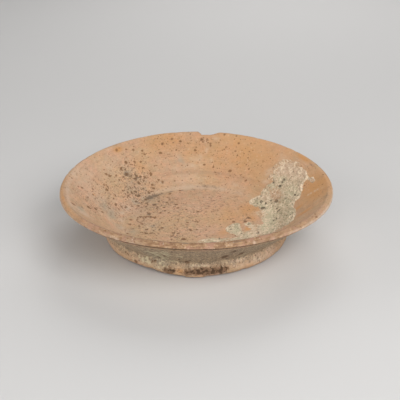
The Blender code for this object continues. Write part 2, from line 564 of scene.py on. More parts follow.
@dataclass(frozen=True)
class Wear:
    """How rough the surface is, and what the ground and use have done to it.

    Each pair is the height and the width of a noise; foot, crust, soil and break_face are
    added where those are.
    """

    ridge_height: float = 0.045 * MM
    ridge_pitch: float = 3.1 * MM
    ridge_bend: float = 2.5
    ridge_bend_width: float = 22.0 * MM
    ridge_fade_width: float = 30.0 * MM
    wobble: Pair = (0.14 * MM, 26.0 * MM)
    lumps: Pair = (0.05 * MM, 7.0 * MM)
    tooth: Pair = (0.022 * MM, 2.2 * MM)
    foot: Pair = (0.16 * MM, 6.0 * MM)
    crust: Pair = (0.22 * MM, 2.6 * MM)
    soil: Pair = (0.25 * MM, 2.0 * MM)
    break_face: Pair = (0.12 * MM, 1.8 * MM)
    foot_rough_below: float = 4.0 * MM
    still_below: float = 0.2 * MM
    free_above: float = 1.6 * MM
    lip_nicks: Nicks = Nicks(110, 2.2 * MM, 0.32 * MM, 2.6 * MM)
    foot_nicks: Nicks = Nicks(70, 2.6 * MM, 0.55 * MM, 3.6 * MM)
    lip_nick_share: float = 0.35
    foot_nick_way: float = 6.0 * MM
    smallest_nick: float = 0.35
    nick_power: float = 1.5
    pit_depth: float = 0.22
    pit_growth: float = 1.15
    finest_pit: float = 0.9 * MM
    faintest_pit: float = 0.3
    scatter_stretch: float = 1.6
    least_radius: float = 10.0 * MM


BIG_PITS = marks(
    (230, 170.6, 2), (183.7, 238.7, 2.8), (161.9, 227.7, 2, 1, 1.5), (201.6, 139.4, 1.6),
    (203.2, 141.9, 1.3, 0.8), (207.5, 140.3, 1.5, 0.8), (162.3, 143.6, 1.7), (160.9, 152.7, 1.9, 1, 1.5),
    (171.8, 139.4, 1.5), (179.8, 140.8, 1.6), (195.6, 150.3, 1.6), (210.7, 145.8, 1.6, 0.6),
    (203.9, 165, 1.5, 1, 1.6), (213.5, 167.3, 1.5, 0.8), (235.3, 151, 1.4, 0.8), (237.4, 155.9, 1.4, 0.7),
    (238.8, 143.2, 1.7, 0.7), (248.9, 168.5, 1.5, 0.7), (245.8, 180.1, 1.9, 0.6), (240.2, 174.8, 1.6, 0.5),
    (162.6, 182.5, 1.9, 0.9), (152, 184.6, 1.6), (153.6, 188.2, 1.8), (151, 174.1, 1.7),
    (170.4, 193.5, 1.6, 0.8), (180.1, 190.3, 1.6, 0.7), (136.1, 191.4, 1.5), (149.2, 193, 2.1, 0.9),
    (139.1, 195.4, 1.6), (167.2, 202.5, 1.6, 0.8), (176.3, 204.3, 1.9), (164, 207.5, 1.6),
    (177.7, 207.8, 1.8, 0.8, 1.4), (186.1, 209.2, 1.5, 0.9), (160.2, 212.4, 1.9, 0.9, 1.5),
    (164.7, 211, 1.5), (193.9, 212.2, 1.5, 0.8), (198.1, 211.5, 1.6, 0.9), (205.8, 211.5, 1.5, 0.6),
    (178.4, 219.4, 1.7, 0.7, 2), (187.9, 222.3, 1.7, 0.8), (194.6, 221.5, 1.5, 0.5), (142.6, 223.9, 1.6),
    (146.5, 229.6, 1.6), (146.1, 233.1, 2), (150.7, 233.4, 1.7), (142.6, 232.7, 1.3), (139.1, 226.8, 1.4),
    (190.9, 230.4, 1.8, 0.9), (173.5, 232.7, 1.6), (172.1, 235.9, 1.9, 0.9), (219.8, 219, 1.6, 0.7),
    (231, 218.7, 1.6, 0.7), (234.2, 221.5, 2.2, 0.8, 1.5), (206.1, 234.5, 1.5, 0.6),
    (130.4, 219.4, 1.5, 0.8), (130, 224, 1.7, 0.9), (127.5, 233.3, 1.8, 0.8, 1.5), (116.5, 150, 1.9),
    (133.1, 150, 1.5), (142, 150.5, 1.5), (144.7, 153.9, 1.6, 0.8), (161, 152.4, 1.5), (126.1, 163, 2.2),
    (120.8, 169.2, 1.7), (132.3, 164.4, 1.2), (106.6, 174.5, 1.7), (109.6, 175.4, 1.7), (116, 175.9, 1.4),
    (127, 174.2, 2.2), (136.6, 175.9, 1.8), (140.4, 176.4, 1.7), (144.7, 177.3, 1.5), (139.5, 183.5, 1.6),
    (151.9, 184.6, 1.4), (82.1, 187.4, 1.6, 0.8), (92.8, 188.8, 1.7, 0.8), (107.4, 189.8, 2),
    (104.3, 185, 1.4, 0.8), (93.1, 194.5, 1.6, 0.7), (88.3, 197.4, 1.5, 0.7), (73.6, 203.6, 1.9, 0.7),
    (89.2, 207, 1.9), (95.9, 208.4, 2), (102.2, 211.8, 1.9, 0.9), (116, 204.1, 1.4), (121.3, 206.5, 1.5),
    (125.6, 207.5, 1.4), (109.8, 207.9, 1.6, 0.8), (131.8, 192.6, 1.7), (139.5, 195, 1.4),
    (128.5, 196, 1.5), (136.1, 201.2, 2.1, 0.7), (131, 219.4, 1.5), (71.9, 178.1, 1.4, 0.7),
    (225, 258, 1.9), (241.5, 254.5, 2.2, 0.8), (136, 262.2, 1.8), (178.6, 260.5, 1.5, 0.7),
    (123.2, 176.5, 1.6, 0.8), (131.4, 176, 2, 0.6), (135.2, 178.9, 1.9, 0.9, 1.8), (124.7, 169.4, 1.8, 0.6),
    (128.5, 166, 1.5, 0.5), (143.6, 180.4, 1.4, 0.8), (150.8, 174.1, 1.8), (119.4, 179.6, 1.6, 0.8),
    (115.6, 195.7, 1.8, 0.7), (113.7, 198.5, 1.8, 0.7), (115.8, 205, 1.8, 0.8), (135.7, 195, 1.6, 0.9),
    (128, 192.1, 1.4, 0.7), (145.7, 199.5, 2, 0.7), (146.7, 202.8, 1.8, 0.9, 1.8),
    (154.3, 204.8, 1.9, 0.9, 1.8), (157.7, 206.7, 1.8, 0.8), (158.9, 201.2, 1.6, 0.7),
    (167.5, 197.1, 1.9, 0.6), (138.1, 205.7, 1.9, 0.7), (149, 213.4, 1.8, 0.9), (134.7, 161.5, 1.5, 0.6),
    (139.3, 166.7, 1.5, 0.4), (142.8, 168.2, 1.5, 0.5), (88.6, 206.8, 2.3, 0.9, 1.8),
    (96.4, 208.6, 2.3, 0.9, 1.8), (97.2, 223, 1.6, 0.5), (104.8, 230.4, 1.8, 0.6, 1.8),
    (316.4, 216.6, 1.6, 0.9, 2), (315, 213.6, 1.8, 0.5, 1.8), (240.8, 206.6, 1.8, 0.6),
    (244.5, 221.2, 2.4, 0.9, 1.4), (248.2, 217.9, 2.2, 0.8, 1.4), (255.2, 206.6, 1.6, 0.6),
    (171.9, 239.2, 1.6, 0.7), (177.9, 233.2, 1.6, 0.8), (169.6, 193.7, 1.7, 0.9), (223.2, 204.8, 1.4, 0.4),
    (154.8, 217.3, 2.2, 1, 2), (146, 217.4, 1.5, 0.9, 3), (137.2, 219.6, 1.2, 0.9),
    (138, 217.9, 1.2, 1, 1.6), (143.6, 220.4, 1.2, 0.7), (139, 182.9, 1.6, 0.8), (241, 228.6, 1.6, 0.5),
    (236, 235.5, 1.8, 0.8),
) + tuple(
    Mark(140.4 + 3.3 * math.cos(turn / 2.5), 219.4 + 2.9 * math.sin(turn / 2.5), 0.9, 0.75)
    for turn in range(16)
) + tuple(
    Mark(140.0 + 1.3 * step, 216.8 - 0.3 * math.sin(step / 2.5), 1.0, 0.9, 1.6) for step in range(13)
)

PIT_FIELDS = (
    PitField(133, 172, 12, 70, 0.8),
    PitField(142, 194, 15, 90, 0.75),
    PitField(160, 205, 14, 60, 0.75),
    PitField(150, 228, 13, 50, 0.8),
    PitField(112, 195, 18, 60, 0.75),
    PitField(185, 218, 20, 50, 0.75),
    PitField(170, 140, 22, 32, 0.5),
    PitField(205, 142, 6, 12, 0.8),
    PitField(225, 165, 26, 22, 0.4),
    PitField(215, 215, 22, 50, 0.6),
    PitField(90, 200, 14, 30, 0.6),
    PitField(178, 236, 7, 16),
    PitField(200, 257, 40, 90),
    PitField(200, 247, 50, 60, 0.7, 0.4, 0.9),
)

STAINS: dict[Tint, Marks] = {
    Tint.GREY_GREEN: marks(
        (112, 214, 17, 0.8, 1.6), (126, 208, 12, 0.5, 1.6), (119, 227, 14, 0.5, 1.4),
        (105, 206, 17, 0.75, 1.2), (136, 202, 10, 0.7), (133, 232, 12, 0.6, 1.5), (81, 208.2, 6, 0.9, 1.8),
        (132, 240, 10, 0.4, 2), (150, 200, 24, 0.45, 1.2), (127, 172, 12, 0.6, 1.3), (133, 186, 26, 0.4),
        (180, 161, 8, 0.6), (192, 189, 12, 0.35, 3), (156, 257.5, 13, 1, 2), (145, 260, 8, 0.6, 1.5),
        (186, 242.2, 3, 0.9, 4), (238, 236.5, 12, 0.35, 2.5), (171.5, 225, 4, 0.4), (153.2, 225.7, 4.4, 1),
        (162.7, 182.3, 3, 0.7, 1.4), (190.5, 268, 5, 0.7, 1.4), (139, 213, 22, 0.3, 1.3),
    ),
    Tint.ORANGE: marks(
        (118.5, 149.5, 8, 1, 1.6), (250, 150, 100, 0.58, 1.6), (316, 188, 50, 0.82, 1.5),
        (230, 215, 50, 0.5), (165, 142, 40, 0.6, 2), (196, 149, 40, 0.5), (81, 199.5, 6, 0.3),
        (187, 246.5, 5, 0.9, 2), (304, 158, 12, 1, 4), (303, 191, 9, 0.9), (298.5, 207, 9, 0.9, 0.6),
        (304, 211.5, 9, 0.9, 0.8), (250, 210, 30, 0.7), (248, 228.3, 7, 1, 1.6), (225, 232, 14, 0.6, 1.8),
        (252, 218, 12, 0.7, 1.6), (175, 137, 18, 0.55, 3), (63.3, 198, 3, 1, 4), (94.3, 194.3, 3.2, 0.9),
        (140, 166, 16, 0.4), (165, 247, 5, 0.7, 4), (235, 246, 5, 0.6, 6), (252, 264.5, 8, 0.6, 3),
        (181, 272, 6, 0.8, 1.6), (180, 130, 24, 0.3),
    ),
    Tint.PALE: marks(
        (178, 157, 8, 0.5), (190, 166, 12, 0.6, 2.4), (200, 159, 8, 0.6, 0.5), (206.5, 150.5, 5, 0.6, 0.5),
        (211, 160, 6, 0.4, 0.6), (176, 169, 8, 0.5, 2), (283, 158, 12, 0.4, 1.4), (136, 202.5, 6, 0.7),
        (128, 207, 6, 0.8), (122.5, 213, 6, 0.8), (108, 217, 15, 0.45), (100, 204, 14, 0.35),
        (120.5, 220, 6, 0.8), (121.5, 227.5, 6, 0.7), (126, 232, 6, 0.5), (188, 178, 26, 0.45, 2),
        (82, 176, 34, 0.55), (108, 168, 30, 0.45), (96, 196, 34, 0.4), (270, 172, 10, 0.7),
        (266, 182, 8, 0.6), (70, 191, 12, 0.5, 2), (82, 211, 12, 0.9, 2.2), (235, 184.5, 10, 0.5, 3),
        (216, 138, 5, 0.6, 2), (308.5, 194.6, 2.6, 1, 1.6), (311.5, 192.9, 2.6, 1, 1.6),
        (314.5, 191.2, 2.6, 1, 1.6), (317.5, 189.4, 2.6, 1, 1.6), (300, 217.5, 7, 0.3, 2),
        (307, 212, 7, 0.15, 2), (318, 200, 6, 0.4), (322, 188, 5, 0.4, 0.5), (312, 172, 6, 0.35),
        (258.5, 213, 8, 0.8), (245.5, 233.8, 7, 0.5, 1.8), (216, 215, 18, 0.3, 1.3), (200, 265.5, 6, 1, 8),
        (238, 260.5, 8, 0.9, 5), (190, 208, 24, 0.2), (258, 259, 14, 0.8, 2), (270, 252, 14, 0.7),
        (240, 265, 8, 0.6, 4), (219, 275.3, 3, 0.9, 2.5), (254, 242.3, 2.4, 1, 0.8),
        (118, 239.8, 3.2, 0.8, 2), (223, 274.6, 2.6, 1, 1.5), (146.2, 179.8, 1.6, 0.8),
        (181.2, 134.1, 1.8, 0.8), (194.5, 159, 10, 0.5), (130, 212, 30, 0.35), (150, 226, 22, 0.4, 1.4),
        (113, 199, 14, 0.4),
    ),
    Tint.SHADE: marks(
        (149.5, 197.6, 6.5, 1, 1.8), (155, 195.8, 5.5, 1, 2), (160.5, 194.2, 2.8, 0.9, 4),
        (170, 191.8, 2.4, 0.8, 6), (181, 190.4, 2.2, 0.75, 6), (194, 189.7, 2, 0.6, 6),
        (206, 189.4, 2, 0.4, 6), (126.8, 174.4, 5, 0.8, 1.2), (137, 177.6, 3.6, 0.55, 5),
        (325.5, 196, 6, 0.3, 2), (151, 217.2, 2.2, 0.9, 5), (148.6, 214.3, 3.2, 0.8, 1.4),
        (140.6, 217.4, 2.2, 0.8, 2.2), (172, 202.3, 2, 0.6, 4), (185, 204.6, 1.6, 0.5, 6),
        (209, 186, 10, 0.3, 6), (155, 204.5, 4.6, 0.5, 1.5), (82.5, 207, 2, 0.9, 2.6),
        (74, 203.8, 2.4, 0.7, 1.6), (220, 173, 3, 0.3, 14), (205, 176, 3, 0.25, 10), (136.4, 187, 26, 0.16),
        # The wide faint marks from (240, 207) to (185, 141) darken broad parts of the inside and the rim:
        # painted shade.
        (240, 207, 44, 0.07), (320, 178, 9, 0.17), (324, 190, 8, 0.16), (310, 205, 9, 0.14),
        (66, 186, 26, 0.14), (185, 141, 50, 0.11, 2), (185, 243.4, 2.2, 0.9, 6), (237, 241.6, 2, 0.7, 16),
        (311, 165, 2.4, 0.6, 5), (233.5, 252.6, 2, 0.9, 3), (160, 256.5, 3, 0.7, 1.5),
        (150, 259, 3, 0.6, 2),
    ),
    Tint.SOIL: marks(
        (169, 270.8, 6, 0.85, 1.5), (174, 270.3, 3, 1), (188, 271.5, 6, 0.8, 1.8),
        (197, 272.4, 8, 0.9, 2.2), (207, 272, 8, 0.95, 2.2), (215.5, 271, 7, 1, 1.4),
        (220.5, 270.8, 7, 1, 1.4), (224, 268.2, 3, 0.7), (204, 269.2, 4, 0.6, 7), (136, 262.2, 2.6, 0.9),
        (225, 257.8, 3.6, 1, 1.3), (234.5, 252.2, 2.6, 0.95, 2.5), (241.5, 254.8, 2.8, 0.9, 1.5),
        (186, 262, 3.4, 0.8, 1.8), (179.5, 273, 3, 0.5, 2), (152, 255.5, 2, 0.7), (159.5, 258, 2.2, 0.75),
        (164.5, 257, 1.8, 0.7), (146, 256.5, 2, 0.6), (154.5, 260.5, 1.8, 0.7), (201.5, 139.6, 3, 0.4, 1.4),
    ),
    Tint.LIME: marks(
        (157, 256.5, 13, 1, 1.6), (147, 259.5, 8, 0.9), (165, 254.5, 9, 0.9), (172, 261.5, 6, 0.6, 1.5),
        (139, 256, 8, 0.45), (243.5, 255.5, 5, 0.7), (200, 265.8, 5, 0.7, 8), (160, 263, 6, 0.7, 3),
        (132, 257, 7, 0.35), (228, 264.5, 5, 0.45, 5), (256, 259, 6, 0.5, 3), (180, 258, 8, 0.45),
    ),
    Tint.SPECKS: marks(
        (133, 176, 28, 0.9), (138, 194, 36, 1), (158, 206, 32, 0.9), (150, 228, 28, 0.75),
        (110, 202, 36, 0.7), (185, 214, 40, 0.6), (178, 236, 16, 0.9), (170, 143, 46, 0.28, 1.5),
        (205, 140.5, 12, 0.4), (225, 165, 60, 0.14), (215, 205, 50, 0.45), (90, 202, 26, 0.55),
        (200, 257, 60, 0.6, 2.5), (243, 218, 16, 0.9, 1.3), (190, 228, 30, 0.5), (205, 269, 16, 0.8, 6),
    ),
}


@dataclass(frozen=True)
class Bands:
    """Where the bands that run round the bowl lie.

    The sectors are bell curves of the turn, each a middle and a width in degrees.  The rings
    are bell curves of the way from the floor's edge, and the lip's bands of the way from the
    groove under the lip, in millimetres.  The other pairs are where something starts and
    where it is whole.
    """

    back: Pair = (92.0, 48.0)
    front: Pair = (-90.0, 58.0)
    left: Pair = (192.0, 26.0)
    turned_left: Pair = (214.0, 34.0)
    pale_ring: Pair = (8.6, 3.0)
    dark_ring: Pair = (23.5, 1.9)
    # The painted shadow just under the lip.
    under_lip_shadow: Pair = (1.7, 1.4)
    # The lip's pale outer edge: worn pale clay and a painted highlight.
    lip_outer_wear_and_highlight: Pair = (4.9, 1.3)
    lip_ochre: Pair = (7.4, 1.3)
    lip_inner_edge: Pair = (9.9, 0.7)
    lip_inner_pale: Pair = (12.4, 1.9)
    lip_outside: Pair = (1.0, 2.5)
    lip_inside: Pair = (11.5, 9.0)
    film: Pair = (-1.0, -4.0)
    worn_film: Pair = (-0.45, 0.35)
    worn_width: float = 34.0 * MM
    shoulder: Pair = (6.0 * MM, 11.0 * MM)
    # The foot's lowest part: its rose tone and painted shade near the floor.
    foot_edge_tone_and_shade: Pair = (3.0 * MM, 0.8 * MM)


@dataclass
class Ring:
    """One ring of the bowl's mesh: its place along the section and its number of points."""

    side: Side
    station: float
    radius: float
    height: float
    slope: Array
    points: int


@dataclass
class BowlMesh:
    """The bowl's fine mesh: rings of points along the section, closed at both poles.

    The cells are, for each side, the way between rings and the widest way between points.
    """

    form: BowlForm
    view: PhotoView
    flake: RimFlake = RimFlake()
    wear: Wear = Wear()
    banding: Bands = Bands()
    cells: dict[Side, Pair] = field(
        default_factory=lambda: {
            Side.UNDERSIDE: (2.4 * MM, 2.4 * MM),
            Side.FOOT: (0.95 * MM, 1.2 * MM),
            Side.OUTER_WALL: (1.6 * MM, 1.75 * MM),
            Side.LIP: (0.6 * MM, 0.9 * MM),
            Side.INNER_WALL: (0.9 * MM, 0.9 * MM),
            Side.FLOOR: (0.9 * MM, 0.9 * MM),
        }
    )
    fewest_points: int = 24
    most_points: int = 768
    near_pixels: float = 1.5
    tie_pixels: float = 0.2
    front_depth: float = 3.0 * MM
    full_slant: float = 0.42
    least_draw_out: float = 0.3

    def rings(self) -> list[Ring]:
        """Lay the rings along the section.

        Returns:
            The rings, from under the foot's middle to the floor's middle, poles left out.
        """
        laid: list[Ring] = []
        start = 0.0
        for side in Side:
            line, (spacing, widest) = self.form.line(side), self.cells[side]
            steps = np.linalg.norm(np.diff(line, axis=0), axis=1)
            away = np.concatenate([[0.0], np.cumsum(steps)])
            count = max(2, round(away[-1] / spacing))
            stations = np.linspace(0.0, away[-1], count + 1)[1:]
            if side is Side.FLOOR:
                stations = stations[:-1]
            spots, ahead, behind = (
                np.stack([np.interp(stations + shift, away, line[:, axis]) for axis in (0, 1)], 1)
                for shift in (0.0, spacing / 2, -spacing / 2)
            )
            for station, spot, way in zip(stations, spots, ahead - behind):
                slope = way / max(np.linalg.norm(way), NEVER_ZERO)
                needed = 2.0 * math.pi * spot[0] / (self.fewest_points * widest)
                doublings = max(0, math.ceil(math.log2(max(needed, 1.0))))
                points = min(self.fewest_points * 2**doublings, self.most_points)
                laid.append(Ring(side, start + station, spot[0], spot[1], slope, points))
            start += away[-1]
        return laid

    def lay_out(self) -> None:
        """Work out each vertex's turn, radius, height, station, side and normal as arrays."""
        rings = self.all_rings = self.rings()
        counts = np.array([ring.points for ring in rings])
        self.first = np.concatenate([[1], 1 + np.cumsum(counts)])
        ring_of = np.repeat(np.arange(len(counts)), counts)
        number = np.arange(len(ring_of)) - (self.first[:-1] - 1)[ring_of]
        last = rings[-1]
        poles = [self.form.line(Side.UNDERSIDE)[0], self.form.line(Side.FLOOR)[-1]]

        def whole(values: list[float], before: float, after: float) -> Array:
            """Spread a value of each ring over its points, with the poles at the ends."""
            return np.concatenate([[before], np.array(values)[ring_of], [after]])

        self.turn = np.concatenate([[0.0], 2.0 * math.pi * number / counts[ring_of], [0.0]])
        self.radius = whole([ring.radius for ring in rings], 0.0, 0.0)
        self.height = whole([ring.height for ring in rings], poles[0][1], poles[1][1])
        self.station = whole([ring.station for ring in rings], 0.0, last.station + last.radius)
        self.side = whole([ring.side.value for ring in rings], rings[0].side.value, last.side.value)
        outward = whole([ring.slope[1] for ring in rings], 0.0, 0.0)
        upward = whole([-ring.slope[0] for ring in rings], -1.0, 1.0)
        self.normal = about_axis(outward, self.turn, upward)

    def faces(self) -> list[Array]:
        """Join the rings with faces that look out of the clay.

        Formula: rings of as many points are joined by four-sided faces.  Where one ring has
        twice the points of its neighbour, each stretch of the coarser ring takes three
        triangles.  The poles close with fans.

        Returns:
            Arrays of vertex numbers, one face in each row.
        """
        blocks: list[Array] = []
        rings = self.all_rings
        for index, (low, high) in enumerate(zip(rings, rings[1:])):
            start, next_start = self.first[index], self.first[index + 1]
            coarse = min(low.points, high.points)
            here = np.arange(coarse)
            after = (here + 1) % coarse
            if low.points == high.points:
                quads = [start + here, start + after, next_start + after, next_start + here]
                blocks.append(np.stack(quads, axis=1))
                continue
            middle, end = 2 * here + 1, (2 * here + 2) % (2 * coarse)
            if low.points > high.points:
                a, b = next_start + here, next_start + after
                f0, f1, f2 = start + 2 * here, start + middle, start + end
                triangles = [(f0, f1, a), (f1, b, a), (f1, f2, b)]
            else:
                a, b = start + here, start + after
                f0, f1, f2 = next_start + 2 * here, next_start + middle, next_start + end
                triangles = [(a, f1, f0), (a, b, f1), (b, f2, f1)]
            blocks.extend(np.stack(triangle, axis=1) for triangle in triangles)
        for pole, index, facing in ((0, 0, 1), (len(self.turn) - 1, len(rings) - 1, -1)):
            here = np.arange(rings[index].points)
            after = (here + 1) % rings[index].points
            rim = [self.first[index] + here, self.first[index] + after][::-facing]
            blocks.append(np.stack([np.full(len(here), pole), *rim], axis=1))
        return blocks

    def on(self, *sides: Side) -> Array:
        """Tell which vertices are on any of the sides, as 1 or 0."""
        return np.isin(self.side, [side.value for side in sides]).astype(float)

    def shape(self) -> None:
        """Place the vertices on the bowl's large form: sprung, rubbed, intact and flaked.

        Formula: the section turned about Z, lifted by the sprung rim; on the rubbed side
        the foot's edge is drawn in and up by a smooth step of the turn; the one bit of the
        edge that is whole stands out and down by the same kind of step; and over the flake
        no point is higher than the break.
        """
        form = self.form
        radius, height = self.radius.copy(), self.height + form.sprung(self.turn, self.radius)
        resting = self.on(Side.UNDERSIDE) * (radius >= form.ring_outer - TOUCH)
        outside = self.on(Side.FOOT, Side.OUTER_WALL) + resting
        low = np.clip(1.0 - self.height / form.waist[1], 0.0, 1.0) * outside
        worn = smooth(1.0 - np.abs(turned_by(self.turn, form.wear_turn)) / form.wear_spread)
        radius -= form.wear_depth * worn * low
        height += form.wear_lift * worn * low**2
        off_whole = np.abs(turned_by(self.turn, form.intact_turn))
        whole = between(off_whole, form.intact_spread, form.intact_core)
        edge = between(self.height, form.foot_bulge_height, 0.4 * form.foot_bulge_height)
        radius += form.intact_reach * whole * edge * self.on(Side.FOOT)
        height -= form.intact_drop * form.intact_reach * whole * edge * self.on(Side.FOOT)
        cut = self.flake.cut(form, self.turn, self.radius, Grain(SEED + 1))
        upper = self.on(Side.LIP, Side.INNER_WALL, Side.OUTER_WALL)
        broken = (height > cut) & (upper > 0.0)
        self.broken = broken.astype(float)
        height = np.where(broken, cut, height)
        outside_face = form.waist[0] + (
            (cut - form.rim_warp - form.waist[1]) * form.upward[0] / form.upward[1]
        )
        radius = np.where(broken, np.minimum(radius, outside_face), radius)
        self.base = about_axis(radius, self.turn, np.maximum(height, 0.0))

    def locate(self, placed: Marks) -> Array:
        """Find the vertex that each mark of the photograph falls on.

        Formula: of the vertices that face the camera within a pixel and a half of the mark,
        those nearest to the camera count, and the closest of them to the mark is taken.

        Args:
            placed: the marks.

        Returns:
            One vertex number for each mark.
        """
        seen, depth = self.view.project(self.base)
        sight = self.view.place() - self.base
        slant = np.sum(self.normal * sight, axis=1) / np.linalg.norm(sight, axis=1)
        self.draw_out = np.clip(slant / self.full_slant, self.least_draw_out, 1.0)
        found = np.zeros(len(placed), int)
        for index, mark in enumerate(placed):
            away = np.hypot(seen[:, 0] - mark.column, seen[:, 1] - mark.row)
            away = np.where(slant > 0.0, away, np.inf)
            near = away < max(self.near_pixels, away.min() + self.tie_pixels)
            front = depth[near].min() + self.front_depth
            found[index] = np.argmin(np.where(near & (depth < front), away, np.inf))
        return found

    def dot(self, vertex: int, across: float, stretch: float) -> Array:
        """Give a round soft dot about a vertex, measured along the surface.

        Formula: a bell curve of the distance, whose two parts are the arc round the bowl,
        over the stretch, and the way along the section, drawn out where the photograph
        looks along the surface.

        Args:
            vertex: the dot's middle.
            across: its width at about a third of its height.
            stretch: how much longer it is round the bowl than along the section.

        Returns:
            The dot's height at each vertex, up to 1.
        """
        turn = np.radians(turned_by(self.turn, math.degrees(self.turn[vertex])))
        reach = (self.radius + self.radius[vertex]) / 2
        around = reach * turn / math.sqrt(stretch)
        along = (self.station - self.station[vertex]) * math.sqrt(stretch) * self.draw_out[vertex]
        return np.exp(-(around**2 + along**2) / (across / 2) ** 2)

    def stain(self, placed: Marks) -> Array:
        """Lay soft stains, the strongest showing where they meet.

        Args:
            placed: the stains, with their widths in millimetres.

        Returns:
            The stain's strength at each vertex.
        """
        total = np.zeros(len(self.turn))
        for mark, vertex in zip(placed, self.locate(placed)):
            spot = mark.strength * self.dot(vertex, mark.across * MM, mark.stretch)
            total = np.maximum(total, spot)
        return total

    def pits(self) -> tuple[Array, Array]:
        """Sink the pits that the photograph shows and scatter the lesser ones.

        Formula: each pit is a soft dot, its depth a share of its width, and one that is
        finer than the mesh shows is drawn wider and as much fainter.

        Returns:
            The depth and the darkness of the pits at each vertex.
        """
        random = np.random.default_rng(SEED + 2)
        wear, finest = self.wear, self.wear.finest_pit
        depth, dark = np.zeros(len(self.turn)), np.zeros(len(self.turn))
        for mark, vertex in zip(BIG_PITS, self.locate(BIG_PITS)):
            across = wear.pit_growth * mark.across * MM
            spot = self.dot(vertex, across, mark.stretch)
            depth = np.maximum(depth, wear.pit_depth * across * spot)
            dark = np.maximum(dark, mark.strength * spot)
        middles = tuple(Mark(pits.column, pits.row, 1.0) for pits in PIT_FIELDS)
        for pits, middle in zip(PIT_FIELDS, self.locate(middles)):
            offsets = random.normal(0.0, pits.spread * MM, (pits.count, 2))
            sizes = random.uniform(pits.smallest * MM, pits.largest * MM, pits.count)
            strengths = random.uniform(wear.faintest_pit, 1.0, pits.count) * pits.strongest
            reach = max(self.radius[middle], wear.least_radius)
            for (across, along), size, strength in zip(offsets, sizes, strengths):
                vertex = self.nearest(self.turn[middle] + across / reach, self.station[middle] + along)
                spot = self.dot(vertex, max(size, finest), wear.scatter_stretch)
                depth = np.maximum(depth, wear.pit_depth * size * spot)
                dark = np.maximum(dark, strength * min(1.0, size / finest) * spot)
        return depth, dark

    def nearest(self, turn: float, station: float) -> int:
        """Find the vertex at a turn and a station.

        Args:
            turn: the turn about Z, in radians.
            station: the way along the section.

        Returns:
            The vertex's number.
        """
        ring = int(np.argmin([abs(ring.station - station) for ring in self.all_rings]))
        points = self.all_rings[ring].points
        return int(self.first[ring] + round(turn / (2.0 * math.pi) * points) % points)

    def nicks(self) -> Array:
        """Give the small chips along the lip and round the foot's edge.

        Returns:
            Their depth at each vertex.
        """
        random = np.random.default_rng(SEED + 3)
        wear = self.wear
        depth = np.zeros(len(self.turn))
        stations = {ring.side: ring.station for ring in reversed(self.all_rings)}
        lip = stations[Side.LIP]
        lip += wear.lip_nick_share * (stations[Side.INNER_WALL] - lip)
        foot = stations[Side.FOOT] + wear.foot_nick_way
        for middle, kind in ((lip, wear.lip_nicks), (foot, wear.foot_nicks)):
            turns = random.uniform(0.0, 2.0 * math.pi, kind.count)
            places = random.normal(middle, kind.stray, kind.count)
            sizes = random.uniform(wear.smallest_nick, 1.0, kind.count) ** wear.nick_power
            for turn, place, size in zip(turns, places, sizes):
                spot = self.dot(self.nearest(turn, place), kind.widest * size, wear.scatter_stretch)
                depth = np.maximum(depth, kind.deepest * size * flat_topped(spot))
        return depth

    def bands(self) -> dict[str, Array]:
        """Give the bands that run round the bowl: lip, its edges, grey film and foot, some of them painted
        light and shade.

        Formula: the lip's edges are bell curves of the way from the groove under the lip,
        the rings are bell curves of the way from the floor's edge, and the film falls from
        the outer wall over the foot's shoulder.

        Returns:
            Each band's strength at each vertex, by name.
        """
        laid = self.banding
        start = max(ring.station for ring in self.all_rings if ring.side is Side.OUTER_WALL)
        way = (self.station - start) / MM
        floor = min(ring.station for ring in self.all_rings if ring.side is Side.FLOOR)
        before = (floor - self.station) / MM
        inside = self.on(Side.INNER_WALL, Side.FLOOR)
        back, front, left, turned_left = (
            bell(turned_by(self.turn, middle), 0.0, spread)
            for middle, spread in (laid.back, laid.front, laid.left, laid.turned_left)
        )
        worn = between(Grain(SEED + 8).rough(self.base, laid.worn_width, 2), *laid.worn_film)
        shoulder = self.on(Side.FOOT) * (0.25 + 0.75 * between(self.height, *laid.shoulder))
        film = self.on(Side.OUTER_WALL) * between(way, *laid.film)
        film = film + 0.7 * shoulder + 0.35 * self.on(Side.UNDERSIDE)
        lip = between(way, *laid.lip_outside) * between(way, *laid.lip_inside)
        # Pale worn edge and painted highlight on the lip's outer side, faint on the front.
        outer_wear_and_highlight = bell(way, *laid.lip_outer_wear_and_highlight) * (1.0 - 0.9 * front)
        return {
            "pale_ring": bell(before, *laid.pale_ring) * inside * back,
            "dark_ring": bell(before, *laid.dark_ring) * inside * back,
            # The lip's band is strongest on the front: its own tone and painted shade.
            "lip": lip * (0.15 + 0.85 * front),
            "lip_ochre": bell(way, *laid.lip_ochre) * left,
            "lip_outer_wear_and_highlight": outer_wear_and_highlight * (1.0 - 0.75 * turned_left),
            "lip_inner_pale": bell(way, *laid.lip_inner_pale) * left,
            "lip_inner_edge": bell(way, *laid.lip_inner_edge) * front,
            # Painted shadow just under the lip.
            "under_lip_shadow": bell(way, *laid.under_lip_shadow),
            "film": film * (0.45 + 0.55 * np.maximum(worn, front)),
            # Rose tone and painted shade at the foot's lowest part.
            "foot_edge_tone_and_shade": self.on(Side.FOOT) * between(self.height, *laid.foot_edge_tone_and_shade),
        }

